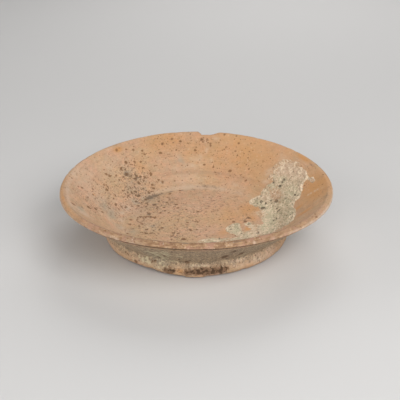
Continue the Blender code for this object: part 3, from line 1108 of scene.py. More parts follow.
    def relief(self, pit_depth: Array, soil: Array, crusty: Array) -> Array:
        """Give how far the finished surface stands off the large form.

        Formula: throwing ridges are a sine of the way along the section, bent by noise;
        noise of three sizes adds wobble, lumps and tooth; pits and nicks go in, soil and
        crust stand out, and nothing moves where the bowl rests.

        Args:
            pit_depth: the pits' depth.
            soil: the soil's strength.
            crusty: the grey-green crust's strength.

        Returns:
            The shift of each vertex along its normal.
        """
        wear, points = self.wear, self.base
        grain = Grain(SEED + 4)
        ridges = self.on(Side.INNER_WALL, Side.FLOOR, Side.OUTER_WALL, Side.UNDERSIDE)
        phase = 2.0 * math.pi * self.station / wear.ridge_pitch + self.turn
        bent = phase + wear.ridge_bend * grain.at(points, wear.ridge_bend_width)
        strength = 0.65 + 0.5 * grain.at(points + 0.05, wear.ridge_fade_width)
        shift = wear.ridge_height * np.sin(bent) * strength * ridges
        for height, width in (wear.wobble, wear.lumps, wear.tooth):
            shift += height * grain.rough(points, width, 2)
        foot = self.on(Side.FOOT) * between(self.height, self.form.waist[1], wear.foot_rough_below)
        shift += wear.foot[0] * grain.rough(points, wear.foot[1]) * foot
        shift += wear.crust[0] * np.maximum(grain.rough(points, wear.crust[1], 2), 0.0) * crusty
        shift += wear.soil[0] * grain.rough(points, wear.soil[1], 2) * soil
        shift -= pit_depth + self.nicks() * (1.0 - self.broken)
        shift += wear.break_face[0] * grain.rough(points, wear.break_face[1], 2) * self.broken
        return shift * between(points[:, 2], wear.still_below, wear.free_above)

    def build(self, highest: Array, lowest: Array) -> bpy.types.Object:
        """Build the bowl's object, with the attributes that its finish reads.

        Args:
            highest: the highest corner of the solid's box.
            lowest: the lowest corner of the solid's box.

        Returns:
            The bowl.
        """
        self.lay_out()
        self.shape()
        depth, dark = self.pits()
        tints = {tint.value: self.stain(placed) for tint, placed in STAINS.items()}
        crusty = tints[Tint.GREY_GREEN.value] * self.on(Side.OUTER_WALL, Side.FOOT)
        shift = self.relief(depth, tints[Tint.SOIL.value], crusty)
        points = np.clip(self.base + shift[:, None] * self.normal, lowest, highest)
        bowl = new_mesh("terracotta_bowl", points, self.faces())
        for name, values in (tints | self.bands() | {"pit": dark}).items():
            add_attribute(bowl, name, values)
        return bowl


CRUST_TONES: dict[str, Marks] = {
    "pink": marks(
        (284, 167, 22), (301, 172, 14, 0.9), (313, 178, 7, 0.9), (295, 176, 8, 0.6), (301.5, 187.8, 5),
        (275.5, 194.5, 9), (266, 199, 7, 0.6), (264, 216, 10, 0.8), (256, 230, 16, 0.5), (271, 177, 6, 0.7),
    ),
    "thin": marks(
        (274.5, 165, 9), (272.5, 171.5, 7), (269, 178.5, 6, 0.9), (264, 187, 5, 0.7), (259.5, 215, 8),
        (255, 225.5, 5, 0.7), (245, 228.5, 6, 0.9), (312, 181, 4, 0.6), (222, 239.5, 9, 0.5, 2.5),
        (205, 240.5, 9, 0.6, 2.5), (284, 160.5, 9, 1, 1.6), (258, 208, 4, 0.7), (297, 163, 7, 0.9),
        (275.5, 194, 11, 0.75), (277, 200, 5, 0.7),
    ),
    "green": marks(
        (283, 180, 8, 0.8), (292, 192, 12, 0.8), (285, 205, 14, 0.6), (270, 222, 14, 1, 0.7),
        (262, 205, 8, 0.8), (289, 216, 12, 0.7), (236, 231, 7, 0.7), (266, 227, 9, 0.9),
        (208, 241, 9, 0.8, 2), (273, 187, 8, 0.6), (275, 176, 5, 0.6), (269.5, 210.5, 10, 0.9),
        (275.5, 216, 8, 0.7),
    ),
    # Dark spots that deepen the pockets: partly painted shade.
    "dark": marks(
        (284.1, 179.7, 2.2), (282.1, 181.9, 2.2), (280.1, 186.1, 2.2), (263.3, 208.4, 3.4, 1, 2),
        (276.4, 201.2, 3.4, 0.9), (261.4, 202, 3, 0.8), (285.7, 198, 2.4, 0.6), (295.3, 195.2, 2, 0.9),
        (298.7, 173.3, 2.4, 0.4), (289.8, 209.1, 2.2, 0.5), (274.1, 218, 2.4, 0.5), (271, 224.3, 2.6, 0.5),
        (257.8, 233.3, 2.6, 0.9), (292.5, 204.5, 2.2, 0.5), (279.5, 199, 2.2, 0.5), (266, 203.5, 2.4, 0.7),
        (293.2, 171.6, 1.8, 0.6),
    ),
    # Light spots that raise the crests' cream: partly painted highlight.
    "light": marks(
        (267.1, 202.1, 3), (267.4, 198.4, 2.4, 0.9), (301.6, 186.2, 3.2), (301.8, 190, 3),
        (273.6, 228.3, 2.2, 1, 3), (279.6, 221, 2.2, 0.9, 2.5), (313, 177.6, 2.8), (289.2, 168.3, 2.6, 0.9),
        (250, 200.8, 2.4, 0.9), (294, 199.6, 2.4, 0.9, 3), (291.5, 219, 2.2, 0.9, 3),
        (233, 225.6, 2.4, 0.9), (286, 213.5, 2.2, 0.9, 3), (283, 225.5, 2.2, 0.8, 3),
        (266, 230, 2.2, 0.9, 2.5), (283, 207.5, 2.2, 0.8, 2), (276, 206, 2, 0.8), (290.5, 184, 2.2, 0.8),
    )
    + tuple(
        Mark(column + right * number, row + down * number, across, strength, stretch)
        for count, column, row, right, down, across, strength, stretch in (
            (9, 263.0, 232.6, 1.8, -1.05, 1.7, 0.9, 1.5),
            (7, 279.0, 220.5, 2.4, -0.8, 1.7, 0.85, 2.0),
            (6, 281.0, 199.5, 1.7, -0.9, 1.6, 0.8, 1.5),
            (7, 272.5, 229.2, 2.2, -1.0, 1.7, 0.8, 1.8),
        )
        for number in range(count)
    ),
}


@dataclass
class LimeCrust:
    """The lime crust on the right of the inside, a thin ragged shell with raised edges."""

    form: BowlForm
    view: PhotoView
    step: float = 0.36 * MM
    sunk: float = 0.5 * MM
    edge_rise: float = 0.40 * MM
    body_rise: float = 0.30 * MM
    worm_rise: float = 0.85 * MM
    pocket_depth: float = 0.45 * MM
    raggedness: float = 1.0 * MM
    ragged_width: float = 5.0 * MM
    frayed_width: float = 1.9 * MM
    worm_width: float = 3.8 * MM
    worm_sharpness: float = 3.0
    thread_width: float = 1.8 * MM
    thread_sharpness: float = 2.8
    patch_width: float = 7.0 * MM
    pocket_width: float = 2.6 * MM
    edge_middle: float = 0.8 * MM
    edge_width: float = 0.7 * MM
    edge_gap_width: float = 6.0 * MM
    tooth_rise: float = 0.12 * MM
    tooth_width: float = 0.9 * MM
    thinnest: float = 0.05 * MM
    rise_start: float = -0.1 * MM
    rise_end: float = 0.8 * MM
    dive: float = 0.25 * MM
    dive_end: float = -0.5 * MM
    margin: float = 0.6 * MM
    border: float = 2.0 * MM
    sight_start: float = 0.45
    sight_end: float = 0.80
    sight_samples: int = 7000
    seen_outline: tuple[Pair, ...] = (
        (277.5, 163), (281.5, 160.2), (287, 159.1), (293.5, 160.6), (298.6, 163), (300, 166.6),
        (304.1, 168.8), (307, 172), (307.8, 176.6), (311.5, 177), (314, 176.5), (315.4, 179.2),
        (315.4, 182.4), (312.4, 183.2), (309.8, 180.4), (307, 179.8), (304.1, 182.8), (302.4, 186.5),
        (303.2, 190), (300.8, 194.8), (298.6, 199), (295.4, 201.5), (294.8, 204), (293.7, 207.2),
        (295.4, 209.8), (295.4, 215.5), (292.8, 220.5), (287.9, 224.6), (283, 227.1), (277.1, 230),
        (272.2, 233), (266.4, 234.6),
    )
    hidden_edge: tuple[Pair, ...] = (
        (-27, 72), (-36, 71), (-45, 66), (-56, 60), (-66, 50), (-74, 41), (-82, 37), (-88, 34.5),
    )
    far_outline: tuple[Pair, ...] = (
        (198, 240.6), (206, 238.8), (214, 237.6), (224, 238.4), (232, 237.9), (238.5, 236.6),
        (236.5, 234.7), (230, 233.5), (225.6, 231), (225.2, 228.4), (228.5, 225.8), (233, 223.6),
        (239, 223.4), (240.6, 227.5), (242, 231.4), (246.5, 231.8), (251.5, 229.3), (246.5, 226.8),
        (243.5, 224.2), (248, 222), (254.7, 223.8), (262, 225), (263.9, 223), (261.3, 220.5), (258, 216.3),
        (257.2, 213), (261.4, 209.7), (258, 207.2), (254, 205.6), (250.6, 203.9), (249, 201), (253, 198.1),
        (257.2, 196), (261.4, 194.8), (261, 191.5), (263, 188.1), (266.4, 185.7), (270.5, 184),
        (273, 181.5), (268.9, 179.8), (268.4, 177.4), (271.3, 174), (274.6, 172.4), (273, 169), (275, 165),
    )

    def on_inside(self, seen: Array) -> Array:
        """Follow lines of sight to the bowl's inside.

        Formula: each line is sampled from the camera on, and the first sample that is below
        the inside's height, within the rim, is where it lands.

        Args:
            seen: columns and rows, one row each.

        Returns:
            The places in plan, as X and Y, one row each.
        """
        view = self.view
        right, up, back = view.axes()
        across = (seen[:, 0] - view.centre_column) / view.focal_length
        down = (seen[:, 1] - view.centre_row) / view.focal_length
        ways = across[:, None] * right - down[:, None] * up - back
        depths = np.linspace(self.sight_start, self.sight_end, self.sight_samples)
        landed = np.zeros((len(seen), 2))
        for index, way in enumerate(ways):
            line = view.place() + depths[:, None] * way
            inside = np.hypot(line[:, 0], line[:, 1]) < self.form.lip_edge[0]
            below = line[:, 2] < self.form.inside_height(line[:, 0], line[:, 1])
            landed[index] = line[np.argmax(inside & below), :2]
        return landed

    def outline(self) -> Array:
        """Join the outline that the photograph shows with the edge that the lip hides.

        Returns:
            The outline's corners in plan, one row each.
        """
        near = self.on_inside(np.array(self.seen_outline))
        far = self.on_inside(np.array(self.far_outline))
        turns, radii = np.array(self.hidden_edge).T
        hidden = about_axis(radii * MM, np.radians(turns), radii)[:, :2]
        return np.concatenate([near, hidden, far])

    @staticmethod
    def depth_inside(places: Array, outline: Array) -> Array:
        """Give how far each place is inside an outline.

        Formula: the distance to the nearest side, which is positive where a line drawn from
        the place along +X crosses the outline an odd number of times, and else negative.

        Args:
            places: positions in plan, one row each.
            outline: the outline's corners, one row each.

        Returns:
            The distance of each place.
        """
        nearest = np.full(len(places), np.inf)
        odd = np.zeros(len(places), bool)
        for start, end in zip(outline, np.roll(outline, -1, axis=0)):
            side = end - start
            share = np.clip((places - start) @ side / max(side @ side, NEVER_ZERO), 0.0, 1.0)
            foot = start + share[:, None] * side
            nearest = np.minimum(nearest, np.hypot(*(places - foot).T))
            level = (start[1] > places[:, 1]) != (end[1] > places[:, 1])
            rise = side[1] if abs(side[1]) > NEVER_ZERO else NEVER_ZERO
            crossing = start[0] + (places[:, 1] - start[1]) / rise * side[0]
            odd ^= level & (places[:, 0] < crossing)
        return np.where(odd, nearest, -nearest)

    def thickness(self, x: Array, y: Array) -> dict[str, Array]:
        """Give the crust's thickness and what its finish reads.

        Formula: the depth inside the outline, made ragged by noise, gives a quick rise at
        the edge, a raised band just inside it, and a body of sharp-crested noise in which
        the low places are pockets.

        Args:
            x: the places' X.
            y: the places' Y.

        Returns:
            Arrays by name: depth inside, thickness, edge band, crest (which also lays the painted
                highlight), pocket (which also lays the painted shade) and tones.
        """
        grain, fine = Grain(SEED + 5), Grain(SEED + 6)
        places = np.stack([x, y], axis=1)
        points = np.stack([x, y, self.form.inside_height(x, y)], axis=1)
        depth = self.depth_inside(places, self.outline())
        depth += self.raggedness * grain.rough(points, self.ragged_width, 2)
        depth += 0.9 * self.raggedness * fine.rough(points, self.frayed_width)
        tone = {name: self.spots(places, placed) for name, placed in CRUST_TONES.items()}
        worm = crested(grain.at(points + 0.3, self.worm_width), self.worm_sharpness)
        thread = crested(fine.at(points + 0.2, self.thread_width), self.thread_sharpness)
        patchy = between(grain.at(points + 0.9, self.patch_width), -0.5, 0.5)
        # The crests' mask also lays the crust's cream, which is partly painted highlight.
        crest_and_highlight = np.maximum(worm * (0.6 + 0.4 * patchy), 0.6 * thread)
        crest_and_highlight = np.maximum(crest_and_highlight, tone["light"])
        # The pockets' mask also lays their dark tone, which is partly painted shade.
        pocket_and_shade = between(fine.rough(points + 0.7, self.pocket_width, 2), 0.25, 0.6)
        pocket_and_shade *= 1.0 - 0.7 * tone["pink"]
        pocket_and_shade = np.maximum(pocket_and_shade * (1.0 - crest_and_highlight), tone["dark"])
        edge = bell(depth, self.edge_middle, self.edge_width)
        edge *= between(grain.at(points + 0.5, self.edge_gap_width), -0.4, 0.4)
        edge *= 1.0 - tone["thin"]
        thick = self.body_rise + self.edge_rise * edge + self.worm_rise * (crest_and_highlight - 0.3)
        thick += self.tooth_rise * fine.rough(points + 0.1, self.tooth_width, 1)
        thick = np.maximum(thick - self.pocket_depth * pocket_and_shade, self.thinnest)
        thick *= between(depth, self.rise_start, self.rise_end)
        thick *= 1.0 - 0.7 * tone["thin"]
        thick -= self.dive * between(depth, 0.0, self.dive_end)
        made = {"depth": depth, "thick": thick, "edge": edge, "crest_and_highlight": crest_and_highlight, "pocket_and_shade": pocket_and_shade}
        return tone | made

    def spots(self, places: Array, placed: Marks) -> Array:
        """Lay soft spots on the crust.

        Formula: a bell curve of the distance across the line of sight, stretched along X,
        the strongest showing where spots meet.

        Args:
            places: positions in plan, one row each.
            placed: the spots, with their widths in millimetres.

        Returns:
            The spots' strength at each place.
        """
        total = np.zeros(len(places))
        heights = self.form.inside_height(places[:, 0], places[:, 1])
        seen, depth = self.view.project(np.column_stack([places, heights]))
        for mark in placed:
            away = (seen - [mark.column, mark.row]) * depth[:, None] / self.view.focal_length
            away = away * [1.0 / math.sqrt(mark.stretch), math.sqrt(mark.stretch)]
            spot = np.exp(-np.sum(away**2, axis=1) / (mark.across * MM / 2) ** 2)
            total = np.maximum(total, mark.strength * flat_topped(spot))
        return total

    def build(self) -> bpy.types.Object:
        """Build the crust as a closed shell that is sunk a little in the clay.

        Formula: over a square grid in plan, the top is the inside's height plus the
        thickness along the inside's normal, and the bottom is sunk below the clay.  Only
        cells near or in the outline are kept, and their border is walled.

        Returns:
            The crust.
        """
        edge, inside = self.outline(), self.form.inside_height
        low, high = edge.min(axis=0) - self.border, edge.max(axis=0) + self.border
        columns, rows = (int(math.ceil(span / self.step)) + 1 for span in high - low)
        grid_x, grid_y = np.meshgrid(
            low[0] + self.step * np.arange(columns), low[1] + self.step * np.arange(rows)
        )
        x, y = grid_x.ravel(), grid_y.ravel()
        made = self.thickness(x, y)
        reach = 0.5 * self.step
        slope_x = inside(x + reach, y) - inside(x - reach, y)
        slope_y = inside(x, y + reach) - inside(x, y - reach)
        normal = np.stack([-slope_x, -slope_y, np.full_like(x, 2.0 * reach)], axis=1)
        normal /= np.linalg.norm(normal, axis=1)[:, None]
        ground = np.stack([x, y, inside(x, y)], axis=1)
        top = ground + made["thick"][:, None] * normal
        bottom = ground - self.sunk * normal
        wanted = made["depth"].reshape(rows, columns) > -self.margin
        cells = wanted[:-1, :-1] | wanted[1:, :-1] | wanted[:-1, 1:] | wanted[1:, 1:]
        number = np.arange(rows * columns).reshape(rows, columns)
        corners = [number[:-1, :-1], number[:-1, 1:], number[1:, 1:], number[1:, :-1]]
        quads = np.stack(corners, axis=-1)[cells]
        sides = np.concatenate([quads[:, [k, (k + 1) % 4]] for k in range(4)])
        span = rows * columns
        forward, backward = sides[:, 0] * span + sides[:, 1], sides[:, 1] * span + sides[:, 0]
        border = sides[~np.isin(forward, backward)]
        walls = np.stack([border[:, 1], border[:, 0], border[:, 0] + span, border[:, 1] + span], 1)
        blocks = [quads, quads[:, ::-1] + span, walls]
        used = np.unique(np.concatenate([block.ravel() for block in blocks]))
        points = np.concatenate([top, bottom])[used]
        crust = new_mesh("lime_crust", points, [np.searchsorted(used, block) for block in blocks])
        for name in ("edge", "crest_and_highlight", "pocket_and_shade", "pink", "green", "thin"):
            add_attribute(crust, name, np.tile(made[name], 2)[used])
        return crust


class Graph:
    """A small hand for building the nodes of a material, a group or the sky."""

    def __init__(self, tree: Tree) -> None:
        """Take hold of a node tree and empty it."""
        self.tree = tree
        tree.nodes.clear()

    def node(self, kind: str, settings: dict | None = None,
             numbered: dict[int, object] | None = None, **inputs: object) -> bpy.types.Node:
        """Add a node, with its settings and its inputs.

        Args:
            kind: the node's type name.
            settings: the node's own properties, by name.
            numbered: values or output sockets, by the input's number.
            inputs: values or output sockets, by the input's name with _ for a space.

        Returns:
            The node.
        """
        made = self.tree.nodes.new(kind)
        for name, value in (settings or {}).items():
            setattr(made, name, value)
        for index, value in (numbered or {}).items():
            self.feed(made.inputs[index], value)
        for name, value in inputs.items():
            self.feed(made.inputs[name.replace("_", " ")], value)
        return made

    def feed(self, socket: Socket, value: object) -> None:
        """Link an output to a socket, or set the socket's own value.

        Args:
            socket: the input that takes it.
            value: an output socket, a colour of three numbers, or a plain value.
        """
        if isinstance(value, Socket):
            self.tree.links.new(value, socket)
        elif isinstance(value, tuple) and socket.type == "RGBA":
            socket.default_value = (*value[:3], 1.0)
        else:
            socket.default_value = value

    def math(self, operation: str, *values: object) -> Socket:
        """Work out one step of arithmetic on values or sockets and give its output."""
        made = self.node("ShaderNodeMath", {"operation": operation}, dict(enumerate(values)))
        return made.outputs[0]

    def product(self, first: object, second: object) -> Socket:
        """Multiply two values."""
        return self.math("MULTIPLY", first, second)

    def vector(self, operation: str, *values: object) -> Socket:
        """Work out one step of vector arithmetic and give its vector output."""
        made = self.node("ShaderNodeVectorMath", {"operation": operation}, dict(enumerate(values)))
        return made.outputs["Vector"]

    def mix(self, share: object, first: object, second: object, blend: str = "MIX") -> Socket:
        """Mix two colours, or blend the second into the first, and give the colour output."""
        settings = {"data_type": "RGBA", "blend_type": blend}
        return self.node("ShaderNodeMix", settings, {0: share, 6: first, 7: second}).outputs[2]

    def step(self, value: object, low: object, high: object) -> Socket:
        """Rise smoothly from 0 at low to 1 at high.

        Args:
            value: what is read.
            low: where the rise starts.
            high: where it ends.

        Returns:
            The value output.
        """
        made = self.node(
            "ShaderNodeMapRange", {"interpolation_type": "SMOOTHSTEP"},
            Value=value, From_Min=low, From_Max=high,
        )
        return made.outputs[0]

    def noise(self, place: object, scale: object, detail: float = 2.0, rough: float = 0.5,
              output: str = "Fac") -> Socket:
        """Read the noise texture and give one of its outputs.

        Args:
            place: where it is read.
            scale: how many waves there are in a metre.
            detail: how many finer waves are added.
            rough: how strong these are.
            output: the output's name.

        Returns:
            That output.
        """
        made = self.node(
            "ShaderNodeTexNoise", {"noise_dimensions": "3D"},
            Vector=place, Scale=scale, Detail=detail, Roughness=rough,
        )
        return made.outputs[output]

    def attribute(self, name: str) -> Socket:
        """Read one of the mesh's attributes and give its value output."""
        return self.node("ShaderNodeAttribute", {"attribute_name": name}).outputs["Fac"]


def new_group(name: str, inputs: dict[str, float | None], output: str,
              ) -> tuple[Tree, Graph, bpy.types.NodeOutputs, Socket]:
    """Start a shader node group.

    Args:
        name: the group's name.
        inputs: for each input, its value at first; without one, Place is a vector and the
            others are colours.
        output: the name of its one output, which is a colour if it is called Color.

    Returns:
        The group, its graph, its inputs inside it, and the socket that takes its output.
    """
    tree = bpy.data.node_groups.new(name, "ShaderNodeTree")
    for label, value in inputs.items():
        kind = "Float" if value is not None else "Vector" if label == "Place" else "Color"
        socket = tree.interface.new_socket(label, in_out="INPUT", socket_type=f"NodeSocket{kind}")
        if value is not None:
            socket.default_value = value
    kind = "Color" if output == "Color" else "Float"
    tree.interface.new_socket(output, in_out="OUTPUT", socket_type=f"NodeSocket{kind}")
    graph = Graph(tree)
    inside = graph.node("NodeGroupInput").outputs
    return tree, graph, inside, graph.node("NodeGroupOutput").inputs[output]


@dataclass(frozen=True)
class Effects:
    """The effects that more than one finish uses, each a node group that is built once."""

    ragged: Tree
    speckle: Tree
    mottle: Tree
    turning: Tree

    @classmethod
    def build(cls) -> "Effects":
        """Build the groups."""
        return cls(cls.build_ragged(), cls.build_speckle(), cls.build_mottle(), cls.build_turning())

    @staticmethod
    def build_ragged() -> Tree:
        """Build the group that breaks up a soft mask.

        Formula: noise, less its middle, times the raggedness, is added to the amount where
        there is any, and the sum is stepped from low to high.

        Returns:
            The group.
        """
        tree, graph, take, mask = new_group(
            "ragged_mask",
            {"Amount": 0.0, "Place": None, "Scale": 400.0, "Raggedness": 0.5, "Low": 0.3, "High": 0.7},
            "Mask",
        )
        grain = graph.noise(take["Place"], take["Scale"], 3.0, 0.6)
        push = graph.product(graph.math("SUBTRACT", grain, 0.5), take["Raggedness"])
        gate = graph.step(take["Amount"], 0.0, 0.15)
        total = graph.math("ADD", take["Amount"], graph.product(push, gate))
        graph.feed(mask, graph.step(total, take["Low"], take["High"]))
        return tree

    @staticmethod
    def build_speckle() -> Tree:
        """Build the group of small round specks, of which a share of cells has one.

        Formula: in a cell pattern, bent a little by noise, the distance to the cell's point
        is stepped at a size that the cell's own random colour sets, and cells above the
        share are left bare.

        Returns:
            The group.
        """
        tree, graph, take, mask = new_group(
            "speckle", {"Place": None, "Scale": 700.0, "Share": 0.3, "Size": 0.4}, "Mask"
        )
        place, scale = take["Place"], take["Scale"]
        bent = graph.noise(place, graph.product(scale, 1.3), output="Color")
        shift = graph.node("ShaderNodeVectorMath", {"operation": "SCALE"})
        graph.feed(shift.inputs[0], graph.vector("SUBTRACT", bent, (0.5, 0.5, 0.5)))
        graph.feed(shift.inputs["Scale"], graph.math("DIVIDE", 0.8, scale))
        moved = graph.vector("ADD", place, shift.outputs["Vector"])
        cells = graph.node("ShaderNodeTexVoronoi", {"feature": "F1"}, Vector=moved, Scale=scale)
        parts = graph.node("ShaderNodeSeparateColor", Color=cells.outputs["Color"]).outputs
        size = graph.product(take["Size"], graph.math("ADD", parts[1], 0.35))
        speck = graph.step(cells.outputs["Distance"], size, graph.product(size, 0.45))
        graph.feed(mask, graph.product(speck, graph.math("LESS_THAN", parts[0], take["Share"])))
        return tree

    @staticmethod
    def build_mottle() -> Tree:
        """Build the group that mixes two colours in soft patches.

        Formula: noise is stepped about its middle and mixes the two colours.

        Returns:
            The group.
        """
        tree, graph, take, colour = new_group(
            "mottle",
            {"Place": None, "Scale": 60.0, "First": None, "Second": None, "Middle": 0.5, "Width": 0.2},
            "Color",
        )
        grain = graph.noise(take["Place"], take["Scale"], 4.0, 0.6)
        low, high = (graph.math(way, take["Middle"], take["Width"]) for way in ("SUBTRACT", "ADD"))
        graph.feed(colour, graph.mix(graph.step(grain, low, high), take["First"], take["Second"]))
        return tree

    @staticmethod
    def build_turning() -> Tree:
        """Build the group of the fine lines that the wheel left, rings about Z.

        Formula: noise is read at the place's radius and height, both over the spacing, and
        at a little of its turn, so that it runs in long arcs.  The rise is negative where
        the surface falls outwards.

        Returns:
            The group.
        """
        tree, graph, take, value = new_group(
            "turning_lines", {"Place": None, "Spacing": 0.0012, "Run": 1.2, "Rise": 1.0}, "Value"
        )
        parts = graph.node("ShaderNodeSeparateXYZ", Vector=take["Place"]).outputs
        squares = [graph.product(part, part) for part in parts[:2]]
        radius = graph.math("SQRT", graph.math("ADD", *squares))
        east, north = (
            graph.product(graph.math("DIVIDE", part, radius), take["Run"]) for part in parts[:2]
        )
        rise = graph.product(parts[2], take["Rise"])
        way = graph.math("DIVIDE", graph.math("ADD", radius, rise), take["Spacing"])
        where = graph.node("ShaderNodeCombineXYZ", X=way, Y=east, Z=north).outputs[0]
        graph.feed(value, graph.noise(where, 1.0, 3.0, 0.6))
        return tree


def new_material(name: str, roughness: float, specular: float,
                 ) -> tuple[bpy.types.Material, Graph, bpy.types.Node]:
    """Start a material with one shader.

    Args:
        name: the material's name.
        roughness: the shader's own roughness.
        specular: the shader's own specular level.

    Returns:
        The material, its graph and its shader.
    """
    material = bpy.data.materials.new(name)
    material.use_nodes = True
    graph = Graph(material.node_tree)
    shader = graph.node("ShaderNodeBsdfPrincipled", Roughness=roughness, Specular_IOR_Level=specular)
    graph.node("ShaderNodeOutputMaterial", Surface=shader.outputs[0])
    return material, graph, shader


class Coat:
    """A finish's colour as it is built up, one layer on another, over the object's place."""

    def __init__(self, graph: Graph, effects: Effects) -> None:
        """Start a coat without a colour.

        Args:
            graph: the material's graph.
            effects: the shared effects.
        """
        self.graph, self.effects = graph, effects
        self.place = graph.node("ShaderNodeTexCoord").outputs["Object"]
        self.colour: Socket | None = None

    def effect(self, tree: Tree, **inputs: object) -> Socket:
        """Place a shared effect and give its output."""
        made = self.graph.node("ShaderNodeGroup", {"node_tree": tree}, Place=self.place, **inputs)
        return made.outputs[0]

    def lay(self, mask: object, share: float, tone: object) -> None:
        """Lay a tone over the colour by a share of the mask."""
        self.colour = self.graph.mix(self.graph.product(mask, share), self.colour, tone)

    def multiply(self, share: object, tone: object) -> None:
        """Multiply the colour by a tone, in a share."""
        self.colour = self.graph.mix(share, self.colour, tone, "MULTIPLY")

    def grain(self, share: object, scale: float, dark: Colour, light: Colour, width: float) -> None:
        """Multiply the colour by a mottle of a dark and a light tone."""
        mottle = self.effect(self.effects.mottle, Scale=scale, First=dark, Second=light, Width=width)
        self.multiply(share, mottle)

    def layer(self, name: str, tone: object, share: float, scale: float, push: float,
              low: float = 0.0, high: float = 1.0) -> None:
        """Lay a tone by one of the mesh's attributes, broken up by noise.

        Args:
            name: the attribute's name.
            tone: the layer's colour.
            share: how much of it covers at most.
            scale: the noise's scale.
            push: how ragged the noise makes it.
            low: the amount at which it starts.
            high: the amount at which it is whole.
        """
        mask = self.effect(self.effects.ragged, Amount=self.graph.attribute(name), Scale=scale,
                           Raggedness=push, Low=low, High=high)
        self.lay(mask, share, tone)

    def specks(self, scale: float, size: float, amount: object, share: float, tone: object) -> Socket:
        """Lay specks of a tone.

        Args:
            scale: the scale of their cells.
            size: their size, as a share of a cell.
            amount: the share of cells that has one.
            share: how much of the tone covers.
            tone: the specks' colour.

        Returns:
            The specks' mask.
        """
        mask = self.effect(self.effects.speckle, Scale=scale, Size=size, Share=amount)
        self.lay(mask, share, tone)
        return mask

    def finish(self, shader: bpy.types.Node, height: object, strength: float, depth: float) -> None:
        """Give the shader the colour, and a bump from a height.

        Args:
            shader: the material's shader.
            height: the height that the bump follows.
            strength: the bump's strength.
            depth: the bump's depth, in metres.
        """
        self.graph.feed(shader.inputs["Base Color"], self.colour)
        bump = self.graph.node("ShaderNodeBump", Strength=strength, Distance=depth, Height=height)
        self.graph.feed(shader.inputs["Normal"], bump.outputs[0])


